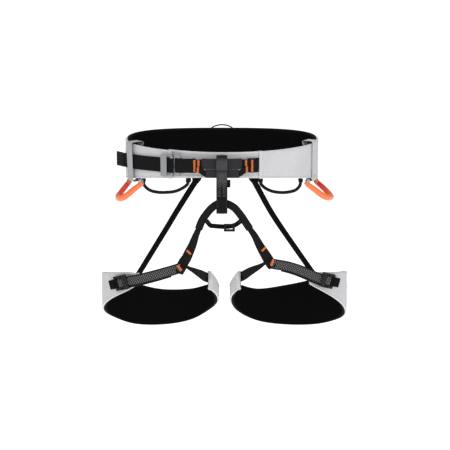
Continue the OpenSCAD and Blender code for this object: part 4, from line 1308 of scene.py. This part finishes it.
def make_leg(s, side):
    body = "leg_" + side
    pad = leg_pad(s)

    def face(length, h):
        crease = abs(noise.noise(Vector((length * 0.035 + h, h * 2.2, 40 + s))))
        return (swell(length, h, 20.0 + s, 0.6, 0.7) - 1.6 * max(0.0, 0.16 - crease) / 0.16
                * min(1, 4 * h, 4 * (1 - h)) * 0.5 + pucker(length, h, 4.0, 50, 8.0, 0.3))

    def back(length, h):
        return LINING_T + 0.05 + 0.35 * (1 - abs(2 * h - 1) ** 3) + 0.2 * noise.noise(
            Vector((length * 0.03, h * 2, 30 + s)))
    padded_layers(pad, body, ("leg_face_" + side, "leg_lining_sheet_" + side),
                  ("leg_shell_" + side, "leg_lining_" + side), 1.9, 13, face, back)
    tapes = [binding("leg_tape", pad, top, 2.9, 12.0 + s + top * 5, 0.42) for top in (True, False)]
    tapes += [end_tape("leg_tape_end", pad, at_start, 4.2, 0.45) for at_start in (True, False)]
    place(join("leg_tapes_" + side, tapes), body, "binding", "leg_binding_" + side)
    edge_stitches("leg_tape_stitches_" + side, pad, body, 1.8, 0.5, 0.16, 2.0, 3.0)

    out_run, turn, behind = leg_strap_rows(s)
    band = strap("leg_strap_" + side, out_run + turn + behind, PATTERNED, first=vec(s, 0, 0))
    place(band, body, "leg_strap", "leg_strap_" + side)
    eye = [(LEG_BUCKLE["eye_end"] + 7, 1.3)] + eye_turn(LEG_BUCKLE, 1.4)
    eye += [(LEG_BUCKLE["eye_end"] + 9, -GAP - 1.1), (LEG_BUCKLE["eye_end"] + 14, -1.8)]
    rows = []
    for i, (x, out) in enumerate(eye):
        m = turned_out(eye, i)
        rows.append(row(leg_local(s, -x, out), m[0] * leg_dir(s) - m[1] * leg_n(s), 16.6, 1.4))
    anchor = strap("leg_buckle_anchor_" + side, rows, ELASTIC_BLACK)
    place(anchor, body, "elastic_black", "leg_buckle_anchor_" + side)
    start = [(-64, -84.6, -176, 5)] if s < 0 else [(76, -86, -168.5, 5)]
    inner_rows = [row(vec(*q[:3]), (-s * (1.14 + 0.012 * q[1]), -0.62, 0), q[3], 1.6)
                  for q in start + INNER[s]]
    inner = strap("leg_inner_strap_" + side, inner_rows, WEBBING, steps=8)
    place(inner, body, "webbing", "leg_inner_strap_" + side)
    q = (-73.8, -86.2, -180.6, 35) if s < 0 else (87.7, -87.8, -170.4, -22)
    a = math.radians(q[3])
    across, up = vec(math.cos(a), 0, math.sin(a)), vec(-math.sin(a), 0, math.cos(a))
    path = tack_paths(vec(q[0], q[1] - 0.1, q[2]), across, up, vec(0, -1, 0), 4.2, 11)
    sew("leg_bar_tack_threads_" + side, [path], 0.3, ORANGE_STITCH, body, "tack",
        "leg_bar_tacks_" + side, sides=6)


# ---------------------------------------------------------------- what stays from the CAD model
def finish_cad_nodes():
    """Bevels and finishes for the machined parts, and finishes for the hidden soft ones."""
    finishes = {"waist_buckle_frame": ALLOY, "waist_buckle_latch": ALLOY,
                "leg_buckle_frame_left": ALLOY_BLACK, "leg_buckle_frame_right": ALLOY_BLACK,
                "leg_buckle_latch_left": ALLOY_BLACK, "leg_buckle_latch_right": ALLOY_BLACK,
                "cross_strap_hook": HOOK_PLASTIC, "waist_foam": FOAM, "leg_foam_left": FOAM,
                "leg_foam_right": FOAM}
    for name, material in finishes.items():
        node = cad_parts[name]
        node.data.materials.clear()
        node.data.materials.append(material)
        if "foam" not in name:
            bevel = node.modifiers.new("rounded", "BEVEL")
            bevel.width = 0.55 * MM
            bevel.segments = 3
            bevel.limit_method = "ANGLE"
            bevel.angle_limit = math.radians(35)
            bevel.harden_normals = True


make_belt()
make_flap()
make_waist_strap()
make_keeper("left", front_t(-154), 6.4, ELASTIC, width=15, lean=0.06)
make_keeper("right", front_t(159) - 359, 1.3, SHELL_ELASTIC, width=17, lean=0.0)
make_tie_in()
make_belay_loop()
make_yoke()
make_cross_strap()
make_gear_loops()
make_haul_loop()
make_risers()
make_leg(-1, "left")
make_leg(1, "right")
finish_cad_nodes()
make_camera()
make_studio()
